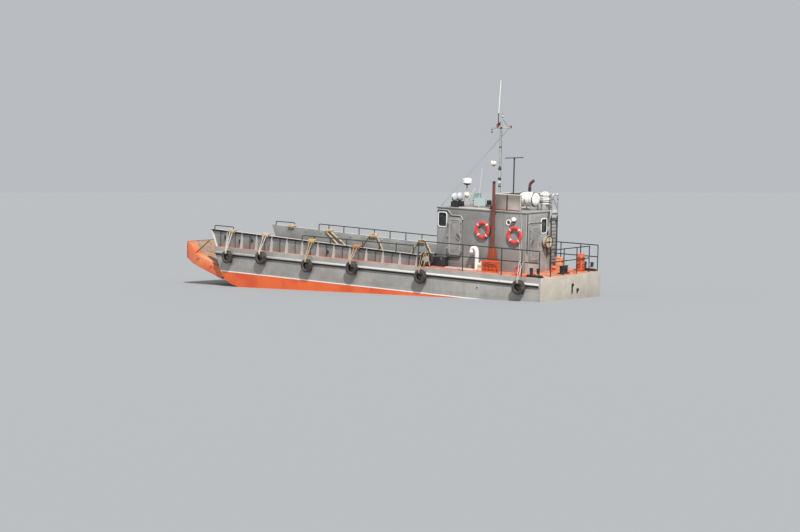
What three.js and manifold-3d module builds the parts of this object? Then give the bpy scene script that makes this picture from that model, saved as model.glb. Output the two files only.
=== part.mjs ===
// A small flat-bottomed landing ferry with an open hold, a spoon-shaped bow ramp and a wheelhouse aft.
// Millimetres, +X towards the bow, +Y to port, +Z up. The origin is amidships, under the flat bottom.

import * as THREE from 'three';
import { ConvexGeometry } from 'three/addons/geometries/ConvexGeometry.js';
import { mergeVertices } from 'three/addons/utils/BufferGeometryUtils.js';
import Module from 'manifold-3d';

const wasm = await Module();
wasm.setup();

// Driving dimensions
const LENGTH = 17700;
const HALF_BEAM = 2220;
const DECK = 1900;
const STERN = -LENGTH / 2;
const BOW = LENGTH / 2;
const SEAT = 0.3;
const PIN_PLAY = 0.4;
const PIN_SIDES = 16;
const RAIL_SIDES = 6;
const RAIL_RADIUS = 22;

const HOLD = { aft: -2680, half: 1950, floor: 850 };
const RAKE = { start: -5500, transomFoot: 820 };
const COAMING = { y: 2000, plate: 12, aftHeight: 480, bowHeight: 780, aftX: -2700, bowX: 9150, footX: 8800 };
const FLANGE = { width: 104, thick: 14 };
const FRAME_STEP = 900;
const STRAKE = { low: 1540, high: 1690, proud: 75, bowX: 8690 };
const HOUSE = { aft: -7350, fore: -2970, half: 1150, wall: 60, top: 4350, roof: 60, eave: 30 };
const RAMP = { half: 1900, hingeX: 8470, hingeZ: 770, lugY: 1300, pin: 25, knuckle: 50 };
const GEAR = { y: 1050, shaftZ: 330, shaft: 28, propX: -8150, rudderX: -8500 };

// Colour, roughness and metalness of each finish
const FINISHES = {
  hull_grey: { color: 0xb4b6b1, roughness: 0.62, metalness: 0.15 },
  house_grey: { color: 0x9c9d99, roughness: 0.6, metalness: 0.1 },
  orange_paint: { color: 0xe2542b, roughness: 0.6, metalness: 0.1 },
  black_paint: { color: 0x1d1f22, roughness: 0.5, metalness: 0.2 },
  tyre: { color: 0x39312d, roughness: 0.85, metalness: 0.0 },
  ring_red: { color: 0xd8403a, roughness: 0.55, metalness: 0.0 },
  white_shell: { color: 0xe9e7df, roughness: 0.45, metalness: 0.0 },
  exhaust_red: { color: 0x8e4440, roughness: 0.7, metalness: 0.2 },
  canvas_beige: { color: 0xb9ac97, roughness: 0.9, metalness: 0.0 },
  screen_green: { color: 0x7fae9f, roughness: 0.3, metalness: 0.0 },
  mast_grey: { color: 0xbfc3c4, roughness: 0.5, metalness: 0.4 },
  bronze: { color: 0xa9863f, roughness: 0.35, metalness: 0.9 },
};

const ferry = new THREE.Group();

// The X of a place given by its distance forward of the transom
function station(forward) {
  return STERN + forward;
}

// A closed geometry becomes a solid that can be joined and cut
function solid(geometry) {
  const plain = geometry.clone();
  plain.deleteAttribute('normal');
  plain.deleteAttribute('uv');
  const merged = mergeVertices(plain, 0.001);
  const mesh = new wasm.Mesh({
    numProp: 3,
    vertProperties: new Float32Array(merged.attributes.position.array),
    triVerts: new Uint32Array(merged.index.array),
  });
  return new wasm.Manifold(mesh);
}

function join(solids) {
  return solids.reduce((whole, next) => whole.add(next));
}

function geometryOf(body) {
  const mesh = body.getMesh();
  const geometry = new THREE.BufferGeometry();
  geometry.setAttribute('position', new THREE.BufferAttribute(new Float32Array(mesh.vertProperties), 3));
  geometry.setIndex(new THREE.BufferAttribute(new Uint32Array(mesh.triVerts), 1));
  geometry.computeVertexNormals();
  return geometry;
}

// The same shape on the other side of the centreline, with its faces still pointing out
function mirrored(geometry) {
  const copy = geometry.clone();
  copy.scale(1, -1, 1);
  const index = copy.index.array;
  for (let i = 0; i < index.length; i += 3) {
    const first = index[i];
    index[i] = index[i + 1];
    index[i + 1] = first;
  }
  copy.computeVertexNormals();
  return copy;
}

function place(name, geometry, finish, position = [0, 0, 0], parent = ferry) {
  const mesh = new THREE.Mesh(geometry, new THREE.MeshStandardMaterial(FINISHES[finish]));
  mesh.name = name;
  mesh.position.set(...position);
  parent.add(mesh);
  return mesh;
}

// The port piece, and its mirror image to starboard
function placePair(name, body, finish, position = [0, 0, 0]) {
  const geometry = geometryOf(body);
  place(`${name}_port`, geometry, finish, position);
  place(`${name}_starboard`, mirrored(geometry), finish, [position[0], -position[1], position[2]]);
}

function block(x0, x1, y0, y1, z0, z1) {
  const geometry = new THREE.BoxGeometry(x1 - x0, y1 - y0, z1 - z0);
  geometry.translate((x0 + x1) / 2, (y0 + y1) / 2, (z0 + z1) / 2);
  return solid(geometry);
}

// A round bar between two points
function bar(from, to, radius, sides = 8) {
  const start = new THREE.Vector3(...from);
  const end = new THREE.Vector3(...to);
  const run = end.clone().sub(start);
  const geometry = new THREE.CylinderGeometry(radius, radius, run.length(), sides);
  const turn = new THREE.Quaternion().setFromUnitVectors(new THREE.Vector3(0, 1, 0), run.clone().normalize());
  geometry.applyQuaternion(turn);
  const middle = start.add(end).multiplyScalar(0.5);
  geometry.translate(middle.x, middle.y, middle.z);
  return solid(geometry);
}

// Round bars end to end, with a ball at each bend
function bentBar(points, radius) {
  const pieces = [];
  for (let i = 1; i < points.length; i += 1) {
    pieces.push(bar(points[i - 1], points[i], radius, RAIL_SIDES));
  }
  for (const point of points.slice(1, -1)) {
    const ball = new THREE.SphereGeometry(radius, RAIL_SIDES, 4);
    ball.translate(...point);
    pieces.push(solid(ball));
  }
  return join(pieces);
}

function outline(points) {
  return new THREE.Shape(points.map(([a, b]) => new THREE.Vector2(a, b)));
}

function roundedOutline(a0, a1, b0, b1, radius) {
  const shape = new THREE.Shape();
  shape.absarc(a1 - radius, b1 - radius, radius, 0, Math.PI / 2);
  shape.absarc(a0 + radius, b1 - radius, radius, Math.PI / 2, Math.PI);
  shape.absarc(a0 + radius, b0 + radius, radius, Math.PI, 1.5 * Math.PI);
  shape.absarc(a1 - radius, b0 + radius, radius, 1.5 * Math.PI, 2 * Math.PI);
  return shape;
}

function extruded(shape, depth) {
  return new THREE.ExtrudeGeometry(shape, { depth, bevelEnabled: false, curveSegments: 3 });
}

// An outline in X and Z, as thick as the stretch of Y
function sidePlate(shape, y0, y1) {
  const geometry = extruded(shape, y1 - y0);
  geometry.rotateX(Math.PI / 2);
  geometry.translate(0, y1, 0);
  return solid(geometry);
}

// An outline in Y and Z, as thick as the stretch of X
function crossPlate(shape, x0, x1) {
  const geometry = extruded(shape, x1 - x0);
  const turn = new THREE.Matrix4().makeBasis(
    new THREE.Vector3(0, 1, 0),
    new THREE.Vector3(0, 0, 1),
    new THREE.Vector3(1, 0, 0),
  );
  geometry.applyMatrix4(turn);
  geometry.translate(x0, 0, 0);
  return solid(geometry);
}

// A bore around a pin whose flats clear it all the way round by the given play
function boreRadius(pinRadius, play, sides) {
  return (pinRadius + play) / Math.cos(Math.PI / sides);
}

// The hull: transom, raked stern bottom, flat bottom and rounded forefoot, with the hold cut into it
// Columns: X, Z
const HULL_PROFILE = [
  [STERN, DECK],
  [STERN, RAKE.transomFoot],
  [RAKE.start, 0],
  [5600, 0],
  [7170, 150],
  [7800, 300],
  [8100, 450],
  [8290, 620],
  [8380, 830],
  [BOW, DECK],
];

function hull() {
  const body = sidePlate(outline(HULL_PROFILE), -HALF_BEAM, HALF_BEAM);
  const hold = block(HOLD.aft, BOW + 200, -HOLD.half, HOLD.half, HOLD.floor, DECK + 100);
  const added = [];
  const cut = [hold];
  for (const side of [-1, 1]) {
    added.push(...rampLugs(side * RAMP.lugY), ...sternGearBosses(side * GEAR.y));
    cut.push(...sternGearBores(side * GEAR.y));
  }
  const whole = join([body.subtract(hold), ...added]);
  return whole.subtract(join(cut));
}

// Two ears and the pin between them, which carry one knuckle of the ramp
function rampLugs(y) {
  const ear = { inner: 32, outer: 62 };
  const shape = new THREE.Shape();
  shape.moveTo(8200, 640);
  shape.lineTo(RAMP.hingeX, RAMP.hingeZ - RAMP.knuckle);
  shape.absarc(RAMP.hingeX, RAMP.hingeZ, RAMP.knuckle, -Math.PI / 2, Math.PI / 2);
  shape.lineTo(8200, 840);
  const pin = bar([RAMP.hingeX, y - ear.outer, RAMP.hingeZ], [RAMP.hingeX, y + ear.outer, RAMP.hingeZ], RAMP.pin, PIN_SIDES);
  return [
    sidePlate(shape, y - ear.outer, y - ear.inner),
    sidePlate(shape, y + ear.inner, y + ear.outer),
    pin,
  ];
}

// Stern tube, shaft bracket and rudder trunk under the raked bottom
function sternGearBosses(y) {
  const z = GEAR.shaftZ;
  const tube = bar([-6300, y, z], [-7000, y, z], 60, 12);
  const bracketRing = bar([-7950, y, z], [-7870, y, z], 58, 12);
  const bracketArm = block(-7950, -7870, y - 10, y + 10, z + 40, 650);
  const trunk = bar([GEAR.rudderX, y, 690], [GEAR.rudderX, y, 820], 70, 12);
  return [tube, bracketRing, bracketArm, trunk];
}

function sternGearBores(y) {
  const z = GEAR.shaftZ;
  const radius = boreRadius(GEAR.shaft, PIN_PLAY, PIN_SIDES);
  return [
    bar([-6840, y, z], [-7010, y, z], radius, PIN_SIDES),
    bar([-7860, y, z], [-7960, y, z], radius, PIN_SIDES),
    bar([GEAR.rudderX, y, 680], [GEAR.rudderX, y, 750], radius, PIN_SIDES),
  ];
}

// The half-round rubbing strake along the side
function rubStrake() {
  const middle = (STRAKE.low + STRAKE.high) / 2;
  const shape = new THREE.Shape();
  const face = HALF_BEAM + SEAT;
  shape.absellipse(face, middle, STRAKE.proud, (STRAKE.high - STRAKE.low) / 2, -Math.PI / 2, Math.PI / 2);
  return crossPlate(shape, station(50), STRAKE.bowX);
}

// Height above the keel line of the coaming's top edge
function coamingTop(x) {
  const slope = (COAMING.bowHeight - COAMING.aftHeight) / (COAMING.bowX - COAMING.aftX);
  return DECK + COAMING.aftHeight + slope * (x - COAMING.aftX);
}

// The coaming beside the hold: plate, top flange, slanted front edge, knees and the flat bars between them
function coaming() {
  const foot = DECK + SEAT;
  const inner = COAMING.y - COAMING.plate / 2;
  const outer = COAMING.y + COAMING.plate / 2;
  const plate = sidePlate(outline([
    [COAMING.aftX, foot],
    [COAMING.footX, foot],
    [COAMING.bowX, coamingTop(COAMING.bowX)],
    [COAMING.aftX, coamingTop(COAMING.aftX)],
  ]), inner, outer);
  const flange = sidePlate(outline([
    [COAMING.aftX, coamingTop(COAMING.aftX) - FLANGE.thick],
    [COAMING.bowX, coamingTop(COAMING.bowX) - FLANGE.thick],
    [COAMING.bowX, coamingTop(COAMING.bowX)],
    [COAMING.aftX, coamingTop(COAMING.aftX)],
  ]), inner, outer + FLANGE.width);
  const frontEdge = sidePlate(outline([
    [COAMING.footX - FLANGE.thick, foot],
    [COAMING.footX, foot],
    [COAMING.bowX, coamingTop(COAMING.bowX)],
    [COAMING.bowX - FLANGE.thick, coamingTop(COAMING.bowX)],
  ]), inner, outer + FLANGE.width);
  return join([plate, flange, frontEdge, ...knees(foot, inner), ...flatBars(foot, inner)]);
}

// Triangular knees, one at each frame
function knees(foot, inner) {
  const half = 6;
  const pieces = [];
  for (let x = station(6176); x < station(17500); x += FRAME_STEP) {
    const top = coamingTop(x) - 2;
    const shape = outline([[inner, foot], [HALF_BEAM - 15, foot], [COAMING.y + 90, top], [inner, top]]);
    pieces.push(crossPlate(shape, x - half, x + half));
  }
  return pieces;
}

function flatBars(foot, inner) {
  const half = 5;
  const depth = 45;
  const pieces = [];
  for (let x = station(6176) + FRAME_STEP / 2; x < station(17500); x += FRAME_STEP) {
    pieces.push(block(x - half, x + half, inner, COAMING.y + depth, foot, coamingTop(x) - 2));
  }
  return pieces;
}

function holdEndCoaming() {
  const half = COAMING.y - COAMING.plate / 2 - SEAT;
  const top = coamingTop(COAMING.aftX);
  const plate = block(COAMING.aftX, HOLD.aft - 8, -half, half, DECK + SEAT, top);
  const flange = block(COAMING.aftX - 60, HOLD.aft - 8, -half, half, top - FLANGE.thick, top);
  return plate.add(flange);
}

// A handrail on the coaming's flange: a top bar with bent ends, on posts
function coamingRail(aft, fore, aftTop, foreTop) {
  const y = COAMING.y + 55;
  const radius = RAIL_RADIUS;
  const bend = 60;
  const footAt = (x) => coamingTop(x) + 2 * SEAT;
  const pieces = [bentBar([
    [aft, y, footAt(aft)],
    [aft, y, aftTop - bend],
    [aft + bend, y, aftTop],
    [fore - bend, y, foreTop],
    [fore, y, foreTop - bend],
    [fore, y, footAt(fore)],
  ], radius)];
  for (let x = aft + FRAME_STEP; x < fore - FRAME_STEP / 2; x += FRAME_STEP) {
    const top = aftTop + ((foreTop - aftTop) * (x - aft)) / (fore - aft);
    pieces.push(bar([x, y, footAt(x)], [x, y, top], radius, RAIL_SIDES));
  }
  return join(pieces);
}

// Guard rail on the deck's edge: top bar, middle bar and posts at the given places along it
function guardRail(start, end, posts, topHeight, middleHeight) {
  const radius = RAIL_RADIUS;
  const foot = DECK + SEAT;
  const at = (place, height) => [
    start[0] + (end[0] - start[0]) * place,
    start[1] + (end[1] - start[1]) * place,
    height,
  ];
  const pieces = [
    bar(at(0, DECK + topHeight), at(1, DECK + topHeight), radius, RAIL_SIDES),
    bar(at(0, DECK + middleHeight), at(1, DECK + middleHeight), radius, RAIL_SIDES),
  ];
  for (const place of posts) {
    pieces.push(bar(at(place, foot), at(place, DECK + topHeight + radius / 2), radius, RAIL_SIDES));
  }
  return join(pieces);
}

function aftGuardRail() {
  const y = 2150;
  const fore = 6050;
  const aft = 120;
  const posts = [6050, 3810, 1910, 950, 120].map((forward) => (fore - forward) / (fore - aft));
  return guardRail([station(fore), y], [station(aft), y], posts, 1050, 570);
}

function sternGuardRail() {
  const x = station(120);
  const port = 1350;
  const starboard = -1490;
  const posts = [1350, 400, -550, -1490].map((y) => (port - y) / (port - starboard));
  return guardRail([x, port], [x, starboard], posts, 1050, 570);
}

// A worn car tyre as a fender, its axis across the ferry
// Columns: radius, half width
const TYRE_SECTION = [
  [155, -52],
  [178, -88],
  [254, -90],
  [292, -58],
  [292, 58],
  [254, 90],
  [178, 88],
  [155, 52],
  [155, -52],
];

// Columns: forward of the transom to port, the same to starboard, height of the centre above the bottom
const TYRE_PLACES = [
  [16670, 16720, 1500],
  [14630, 14420, 1610],
  [11930, 11800, 1480],
  [9410, 9050, 1580],
  [5760, 5800, 1520],
  [920, 980, 1500],
];

function tyreFender() {
  const section = TYRE_SECTION.map(([radius, width]) => new THREE.Vector2(radius, width));
  return new THREE.LatheGeometry(section, 24);
}

function placeTyres() {
  const y = HALF_BEAM + SEAT + STRAKE.proud + SEAT + 90;
  const body = solid(tyreFender());
  TYRE_PLACES.forEach(([port, starboard, z], i) => {
    const geometry = geometryOf(body);
    place(`tyre_fender_port_${i + 1}`, geometry, 'tyre', [station(port), y, z]);
    place(`tyre_fender_starboard_${i + 1}`, mirrored(geometry), 'tyre', [station(starboard), -y, z]);
  });
}

// Wheelhouse walls stand on the deck and meet at its corners; openings are cut for doors and windows
const WALL_TOP = HOUSE.top - HOUSE.roof - SEAT;
const SIDE_DOOR = { aft: station(4600), fore: station(5300), low: DECK + 420, high: DECK + 2050 };
const AFT_DOOR = { starboard: 130, port: 850, low: DECK + 430, high: DECK + 1900 };
const DOOR = { thick: 32, air: 8, lap: 60, corner: 110, pin: 9, knuckle: 19, reach: 30 };

function sideWall() {
  const wall = block(HOUSE.aft, HOUSE.fore, HOUSE.half - HOUSE.wall, HOUSE.half, DECK + SEAT, WALL_TOP);
  const doorway = sidePlate(roundedOutline(
    SIDE_DOOR.aft + DOOR.lap,
    SIDE_DOOR.fore - DOOR.lap,
    SIDE_DOOR.low + DOOR.lap,
    SIDE_DOOR.high - DOOR.lap,
    DOOR.corner,
  ), HOUSE.half - 200, HOUSE.half + 100);
  const window = sidePlate(roundedOutline(
    station(5410),
    station(5800),
    DECK + 1640,
    DECK + 2200,
    70,
  ), HOUSE.half - 200, HOUSE.half + 100);
  return join([wall.subtract(doorway).subtract(window), ...sideHinges()]);
}

// Brackets with upright pins on which a door's knuckles turn
const HINGE_HEIGHTS = [300, 815, 1330];

function hingePin(x, y, z) {
  return bar([x, y, z - 6], [x, y, z + 100], DOOR.pin, PIN_SIDES);
}

function sideHinges() {
  const x = SIDE_DOOR.fore + DOOR.reach;
  const y = HOUSE.half + DOOR.air + DOOR.thick;
  return HINGE_HEIGHTS.flatMap((height) => {
    const z = SIDE_DOOR.low + height;
    const arm = block(x - 16, x + 16, HOUSE.half - 10, y + 16, z - 24, z);
    return [arm, hingePin(x, y, z)];
  });
}

function aftHinges() {
  const x = HOUSE.aft - DOOR.air - DOOR.thick;
  const y = AFT_DOOR.starboard - DOOR.reach;
  return HINGE_HEIGHTS.map((height) => height * 0.88).flatMap((height) => {
    const z = AFT_DOOR.low + height;
    const arm = block(x - 16, HOUSE.aft + 10, y - 16, y + 16, z - 24, z);
    return [arm, hingePin(x, y, z)];
  });
}

// End walls fit between the side walls
const END_HALF = HOUSE.half - HOUSE.wall - SEAT;

// Hose reel on the aft wall: an axle, the wound hose and a flange at each end of it
function hoseReel() {
  const y = -280;
  const z = DECK + 1220;
  const stretch = (near, far, radius) => bar([HOUSE.aft - near, y, z], [HOUSE.aft - far, y, z], radius, 24);
  return join([stretch(-10, 60, 45), stretch(50, 62, 255), stretch(60, 190, 215), stretch(188, 200, 255)]);
}

function aftWall() {
  const wall = block(HOUSE.aft, HOUSE.aft + HOUSE.wall, -END_HALF, END_HALF, DECK + SEAT, WALL_TOP);
  const doorway = crossPlate(roundedOutline(
    AFT_DOOR.starboard + DOOR.lap,
    AFT_DOOR.port - DOOR.lap,
    AFT_DOOR.low + DOOR.lap,
    AFT_DOOR.high - DOOR.lap,
    DOOR.corner,
  ), HOUSE.aft - 100, HOUSE.aft + 200);
  const window = crossPlate(roundedOutline(-370, 0, DECK + 1570, DECK + 2120, 70), HOUSE.aft - 100, HOUSE.aft + 200);
  return join([wall.subtract(doorway).subtract(window), hoseReel(), ...aftHinges()]);
}

function foreWall() {
  let wall = block(HOUSE.fore - HOUSE.wall, HOUSE.fore, -END_HALF, END_HALF, DECK + SEAT, WALL_TOP);
  const half = 280;
  for (const y of [-700, 0, 700]) {
    const shape = roundedOutline(y - half, y + half, DECK + 1500, DECK + 2180, 70);
    wall = wall.subtract(crossPlate(shape, HOUSE.fore - 200, HOUSE.fore + 100));
  }
  return wall;
}

function houseRoof() {
  const bottom = HOUSE.top - HOUSE.roof;
  const half = HOUSE.half + HOUSE.eave;
  return block(HOUSE.aft - HOUSE.eave, HOUSE.fore + HOUSE.eave, -half, half, bottom, HOUSE.top);
}

// A door leaf with its knuckles, drawn from its own hinge axis: the leaf runs along -X and lies at -Y
function doorLeaf(width, height, hingeHeights) {
  const leaf = sidePlate(
    roundedOutline(-width - DOOR.reach, -DOOR.reach, 0, height, DOOR.corner + 20),
    -DOOR.thick,
    0,
  );
  const pieces = [leaf];
  const bores = [];
  for (const z of hingeHeights) {
    const low = z + PIN_PLAY;
    const high = z + 86;
    pieces.push(bar([0, 0, low], [0, 0, high], DOOR.knuckle, 12));
    pieces.push(block(-DOOR.reach - 80, -8, -14, 8, low, high));
    bores.push(bar([0, 0, low - 10], [0, 0, high + 10], boreRadius(DOOR.pin, PIN_PLAY, PIN_SIDES), PIN_SIDES));
  }
  const handleZ = height * 0.5;
  const handleX = -width - DOOR.reach + 70;
  pieces.push(bar([handleX, -2, handleZ], [handleX, 45, handleZ], 14));
  pieces.push(bar([handleX, 36, handleZ + 20], [handleX, 36, handleZ - 130], 11));
  return join(pieces).subtract(join(bores));
}

function placeDoors() {
  const sideX = SIDE_DOOR.fore + DOOR.reach;
  const sideY = HOUSE.half + DOOR.air + DOOR.thick;
  const sideLeaf = doorLeaf(
    SIDE_DOOR.fore - SIDE_DOOR.aft,
    SIDE_DOOR.high - SIDE_DOOR.low,
    HINGE_HEIGHTS,
  );
  placePair('door', sideLeaf, 'house_grey', [sideX, sideY, SIDE_DOOR.low]);
  const aftLeaf = doorLeaf(
    AFT_DOOR.port - AFT_DOOR.starboard,
    AFT_DOOR.high - AFT_DOOR.low,
    HINGE_HEIGHTS.map((height) => height * 0.88),
  );
  const aftX = HOUSE.aft - DOOR.air - DOOR.thick;
  const aftY = AFT_DOOR.starboard - DOOR.reach;
  const door = place('door_aft', mirrored(geometryOf(aftLeaf)), 'house_grey', [aftX, aftY, AFT_DOOR.low]);
  door.rotation.z = -Math.PI / 2;
}

// Exhaust: a square trunk on the deck, a lagged pipe up to the roof, a bare pipe above it
function exhaust(points) {
  const trunk = block(-165, 165, -130, 130, SEAT, 950);
  const lagging = bar([0, 0, 940], [0, 0, 2480], 82, 14);
  const collar = bar([0, 0, 945], [0, 0, 1000], 106, 14);
  return join([trunk, lagging, collar, bentBar([[0, 0, 2400], ...points], 62)]);
}

// Gooseneck vent: a pipe that turns over and opens downwards
function ventCowl() {
  const route = new THREE.CatmullRomCurve3([
    new THREE.Vector3(0, 0, SEAT),
    new THREE.Vector3(0, 0, 400),
    new THREE.Vector3(0, 0, 720),
    new THREE.Vector3(60, 0, 870),
    new THREE.Vector3(170, 0, 900),
    new THREE.Vector3(255, 0, 820),
    new THREE.Vector3(270, 0, 700),
  ]);
  const ring = new THREE.Shape();
  ring.absarc(0, 0, 85, 0, 2 * Math.PI);
  const pipe = new THREE.ExtrudeGeometry(ring, { extrudePath: route, steps: 14, curveSegments: 10 });
  const foot = bar([0, 0, SEAT], [0, 0, 25], 130, 12);
  return solid(pipe).add(foot);
}

// Columns: distance forward of the transom, height of the centre above the bottom
const RING_PLACES = [
  [3540, DECK + 1615],
  [1965, DECK + 1505],
];

function placeLifeRings() {
  const tube = 55;
  const middle = 305;
  RING_PLACES.forEach(([forward, z], i) => {
    for (const [word, side] of [['port', 1], ['starboard', -1]]) {
      const geometry = geometryOf(solid(new THREE.TorusGeometry(middle, tube, 8, 20)));
      const position = [station(forward), side * (HOUSE.half + SEAT + tube), z];
      const ring = place(`life_ring_${word}_${i + 1}`, geometry, 'ring_red', position);
      ring.rotation.x = Math.PI / 2;
    }
  });
}

// Low parapet of the open steering place on the roof: two sides and a front
function roofParapet() {
  const z0 = HOUSE.top + SEAT;
  const z1 = HOUSE.top + 650;
  const thick = 30;
  const half = 1120;
  const aft = station(1750);
  const fore = station(3100);
  return join([
    block(aft, fore, half - thick, half, z0, z1),
    block(aft, fore, -half, -half + thick, z0, z1),
    block(fore - thick, fore, -half, half, z0, z1),
    bar([aft, half - thick / 2, z1], [fore, half - thick / 2, z1], 24),
    bar([aft, -half + thick / 2, z1], [fore, -half + thick / 2, z1], 24),
    bar([fore - thick / 2, -half, z1], [fore - thick / 2, half, z1], 24),
  ]);
}

// Inflatable raft's canister in a cradle, with a smaller upright canister at the cradle's aft end
function raftCanister() {
  const radius = 278;
  const half = 430;
  const z = radius + 150;
  const drum = bar([-half, 0, z], [half, 0, z], radius, 16);
  const band = bar([-25, 0, z], [25, 0, z], radius + 14, 16);
  const chocks = [-270, 270].map((x) => block(x - 30, x + 30, -200, 200, SEAT, 260));
  const small = { x: -500, y: -420, radius: 212, low: 225, high: 740 };
  const bearers = [-90, 90].map((dx) => block(small.x + dx - 25, small.x + dx + 25, -600, 20, SEAT, 235));
  const tie = block(small.x - 60, -240, -40, 10, 40, 90);
  const upright = bar([small.x, small.y, small.low], [small.x, small.y, small.high - 60], small.radius, 16);
  const cap = bar([small.x, small.y, small.high - 80], [small.x, small.y, small.high], small.radius - 50, 16);
  return join([drum, band, ...chocks, ...bearers, tie, upright, cap]);
}

function radarDome() {
  const post = bar([0, 0, SEAT], [0, 0, 900], 30);
  const foot = bar([0, 0, SEAT], [0, 0, 14], 90, 12);
  const section = [[0, 880], [160, 880], [195, 945], [195, 1060], [150, 1120], [0, 1135]];
  const dome = new THREE.LatheGeometry(section.map(([r, z]) => new THREE.Vector2(r, z)), 20);
  dome.rotateX(Math.PI / 2);
  return join([post, foot, solid(dome)]);
}

// Two lamps that stand side by side on a box and look forward
function searchlights() {
  const box = block(-160, 160, -270, 270, SEAT, 235);
  const pieces = [box];
  for (const y of [-185, 185]) {
    pieces.push(bar([0, y, 220], [0, y, 300], 20));
    pieces.push(bar([-80, y, 415], [70, y, 415], 175, 18));
  }
  return join(pieces);
}

// Folding windscreen of the roof's steering place: a tilted pane in a frame
function roofScreen() {
  const pane = block(-8, 8, -260, 260, 60, 560);
  const frame = [-260, 260].map((y) => bar([0, y, SEAT], [0, y, 580], 14));
  const head = bar([0, -260, 570], [0, 260, 570], 14);
  return join([pane, ...frame, head]);
}

const STAY_FOOT = { x: station(5740), y: 1070 };

// Mast with a topmast, crosstree, lamps, whip aerial and a stay from the crosstree's starboard arm
function mast() {
  const foot = HOUSE.top + SEAT;
  const tree = DECK + 5740;
  const x = station(3600);
  const whip = [x, 190, DECK + 6340];
  return join([
    bar([x, 0, foot], [x, 0, tree + 60], 46, 10),
    bar([x, 0, foot], [x, 0, foot + 16], 110, 12),
    bar([x, 0, tree], [x, 0, tree + 290], 34),
    bar([x, -740, tree], [x, 650, tree], 26),
    bar([x, -90, tree], [x, -90, tree + 570], 30),
    bar([x, -600, tree], [x, -80, tree + 370], 20),
    bar([x, 190, tree], whip, 18),
    bar(whip, [x, 90, DECK + 7660], 14, 6),
    bar([x, 270, tree], [x, 270, tree + 160], 42),
    bar([x, -720, tree - 40], [x, -720, tree + 70], 40),
    bar([x, -600, tree - 10], [STAY_FOOT.x, STAY_FOOT.y, foot + 8], 11, 6),
    block(STAY_FOOT.x - 40, STAY_FOOT.x + 40, STAY_FOOT.y - 30, STAY_FOOT.y + 30, foot, foot + 24),
  ]);
}

function tAerial() {
  return join([
    bar([0, 0, SEAT], [0, 0, 2100], 29),
    bar([0, 0, SEAT], [0, 0, 12], 70, 10),
    bar([0, -620, 2090], [0, 620, 2090], 20),
  ]);
}

// Ladder up the aft wall, with its stiles bent over the roof's edge
function ladder() {
  const x = HOUSE.aft - 95;
  const pieces = [];
  for (const y of [-600, -1030]) {
    pieces.push(bar([x, y, DECK + SEAT], [x, y, HOUSE.top + 620], 23));
    for (const z of [DECK + 700, DECK + 2000]) {
      pieces.push(bar([x, y, z], [HOUSE.aft - SEAT, y, z], 12));
    }
  }
  for (let z = DECK + 300; z < HOUSE.top - 50; z += 290) {
    pieces.push(bar([x, -600, z], [x, -1030, z], 15));
  }
  pieces.push(bar([x, -600, HOUSE.top + 620], [x, -1030, HOUSE.top + 620], 23));
  return join(pieces);
}

// Twin mooring bitts on a base plate
function bitts() {
  const plate = block(-370, 370, -115, 115, SEAT, 20);
  const pieces = [plate];
  for (const x of [-165, 165]) {
    pieces.push(bar([x, 0, 10], [x, 0, 340], 62, 14));
    pieces.push(bar([x, 0, 325], [x, 0, 350], 78, 14));
    pieces.push(bar([x, -115, 240], [x, 115, 240], 17));
  }
  return join(pieces);
}

function sternLocker() {
  const body = block(-130, 130, -130, 130, SEAT, 690);
  const ports = [210, 490].map((z) => bar([-145, 0, z], [-100, 0, z], 80, 14));
  return body.add(join(ports));
}

function sternBox() {
  const body = block(-125, 125, -115, 115, SEAT, 500);
  const lid = block(-140, 140, -130, 130, 490, 550);
  return body.add(lid);
}

function toolCrate() {
  const body = block(-330, 330, -165, 165, SEAT, 430);
  const rim = block(-345, 345, -180, 180, 400, 450);
  return body.add(rim);
}

function blackLocker() {
  const body = block(-390, 390, -150, 150, SEAT, 350);
  const lid = block(-405, 405, -160, 160, 345, 385);
  return body.add(lid);
}

function helmConsole() {
  const shape = outline([[0, SEAT], [420, SEAT], [420, 1150], [300, 1180], [60, 1000], [60, 150], [0, 150]]);
  return sidePlate(shape, -420, 420);
}

// The ramp: a scoop with a turned-up lip, carried on two knuckles at its foot
// Columns: X, Z
const RAMP_PROFILE = [
  [8535, 880],
  [8535, 560],
  [8620, 400],
  [9510, 670],
  [10410, 950],
  [10850, 1230],
  [10850, 1890],
  [10760, 1950],
  [10320, 1450],
  [9150, 1030],
];

// Stiffening plate folded across the lip's inner corner on one side
function rampCorner(side) {
  const reach = 1350;
  const proud = 70;
  const edge = side * RAMP.half;
  const sunk = 30;
  const corners = [
    [10320 - proud, edge, 1450 + proud],
    [10320 + sunk, edge, 1450 - sunk],
    [10760, edge, 1950 - 1],
    [10760 - proud, edge, 1950 - 1],
    [10760, side * (RAMP.half - reach), 1950 - 1],
    [10760 + sunk, side * (RAMP.half - reach), 1950 - sunk - 1],
  ];
  return solid(new ConvexGeometry(corners.map((corner) => new THREE.Vector3(...corner))));
}

function ramp() {
  const body = join([
    sidePlate(outline(RAMP_PROFILE), -RAMP.half, RAMP.half),
    rampCorner(1),
    rampCorner(-1),
  ]);
  const half = 29;
  const knuckles = [];
  const bores = [];
  for (const y of [-RAMP.lugY, RAMP.lugY]) {
    const shape = new THREE.Shape();
    shape.moveTo(8600, RAMP.hingeZ + RAMP.knuckle);
    shape.absarc(RAMP.hingeX, RAMP.hingeZ, RAMP.knuckle, Math.PI / 2, 1.5 * Math.PI);
    shape.lineTo(8600, RAMP.hingeZ - RAMP.knuckle);
    knuckles.push(sidePlate(shape, y - half, y + half));
    const radius = boreRadius(RAMP.pin, PIN_PLAY, PIN_SIDES);
    bores.push(bar([RAMP.hingeX, y - 60, RAMP.hingeZ], [RAMP.hingeX, y + 60, RAMP.hingeZ], radius, PIN_SIDES));
  }
  return join([body, ...knuckles]).subtract(join(bores));
}

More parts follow.
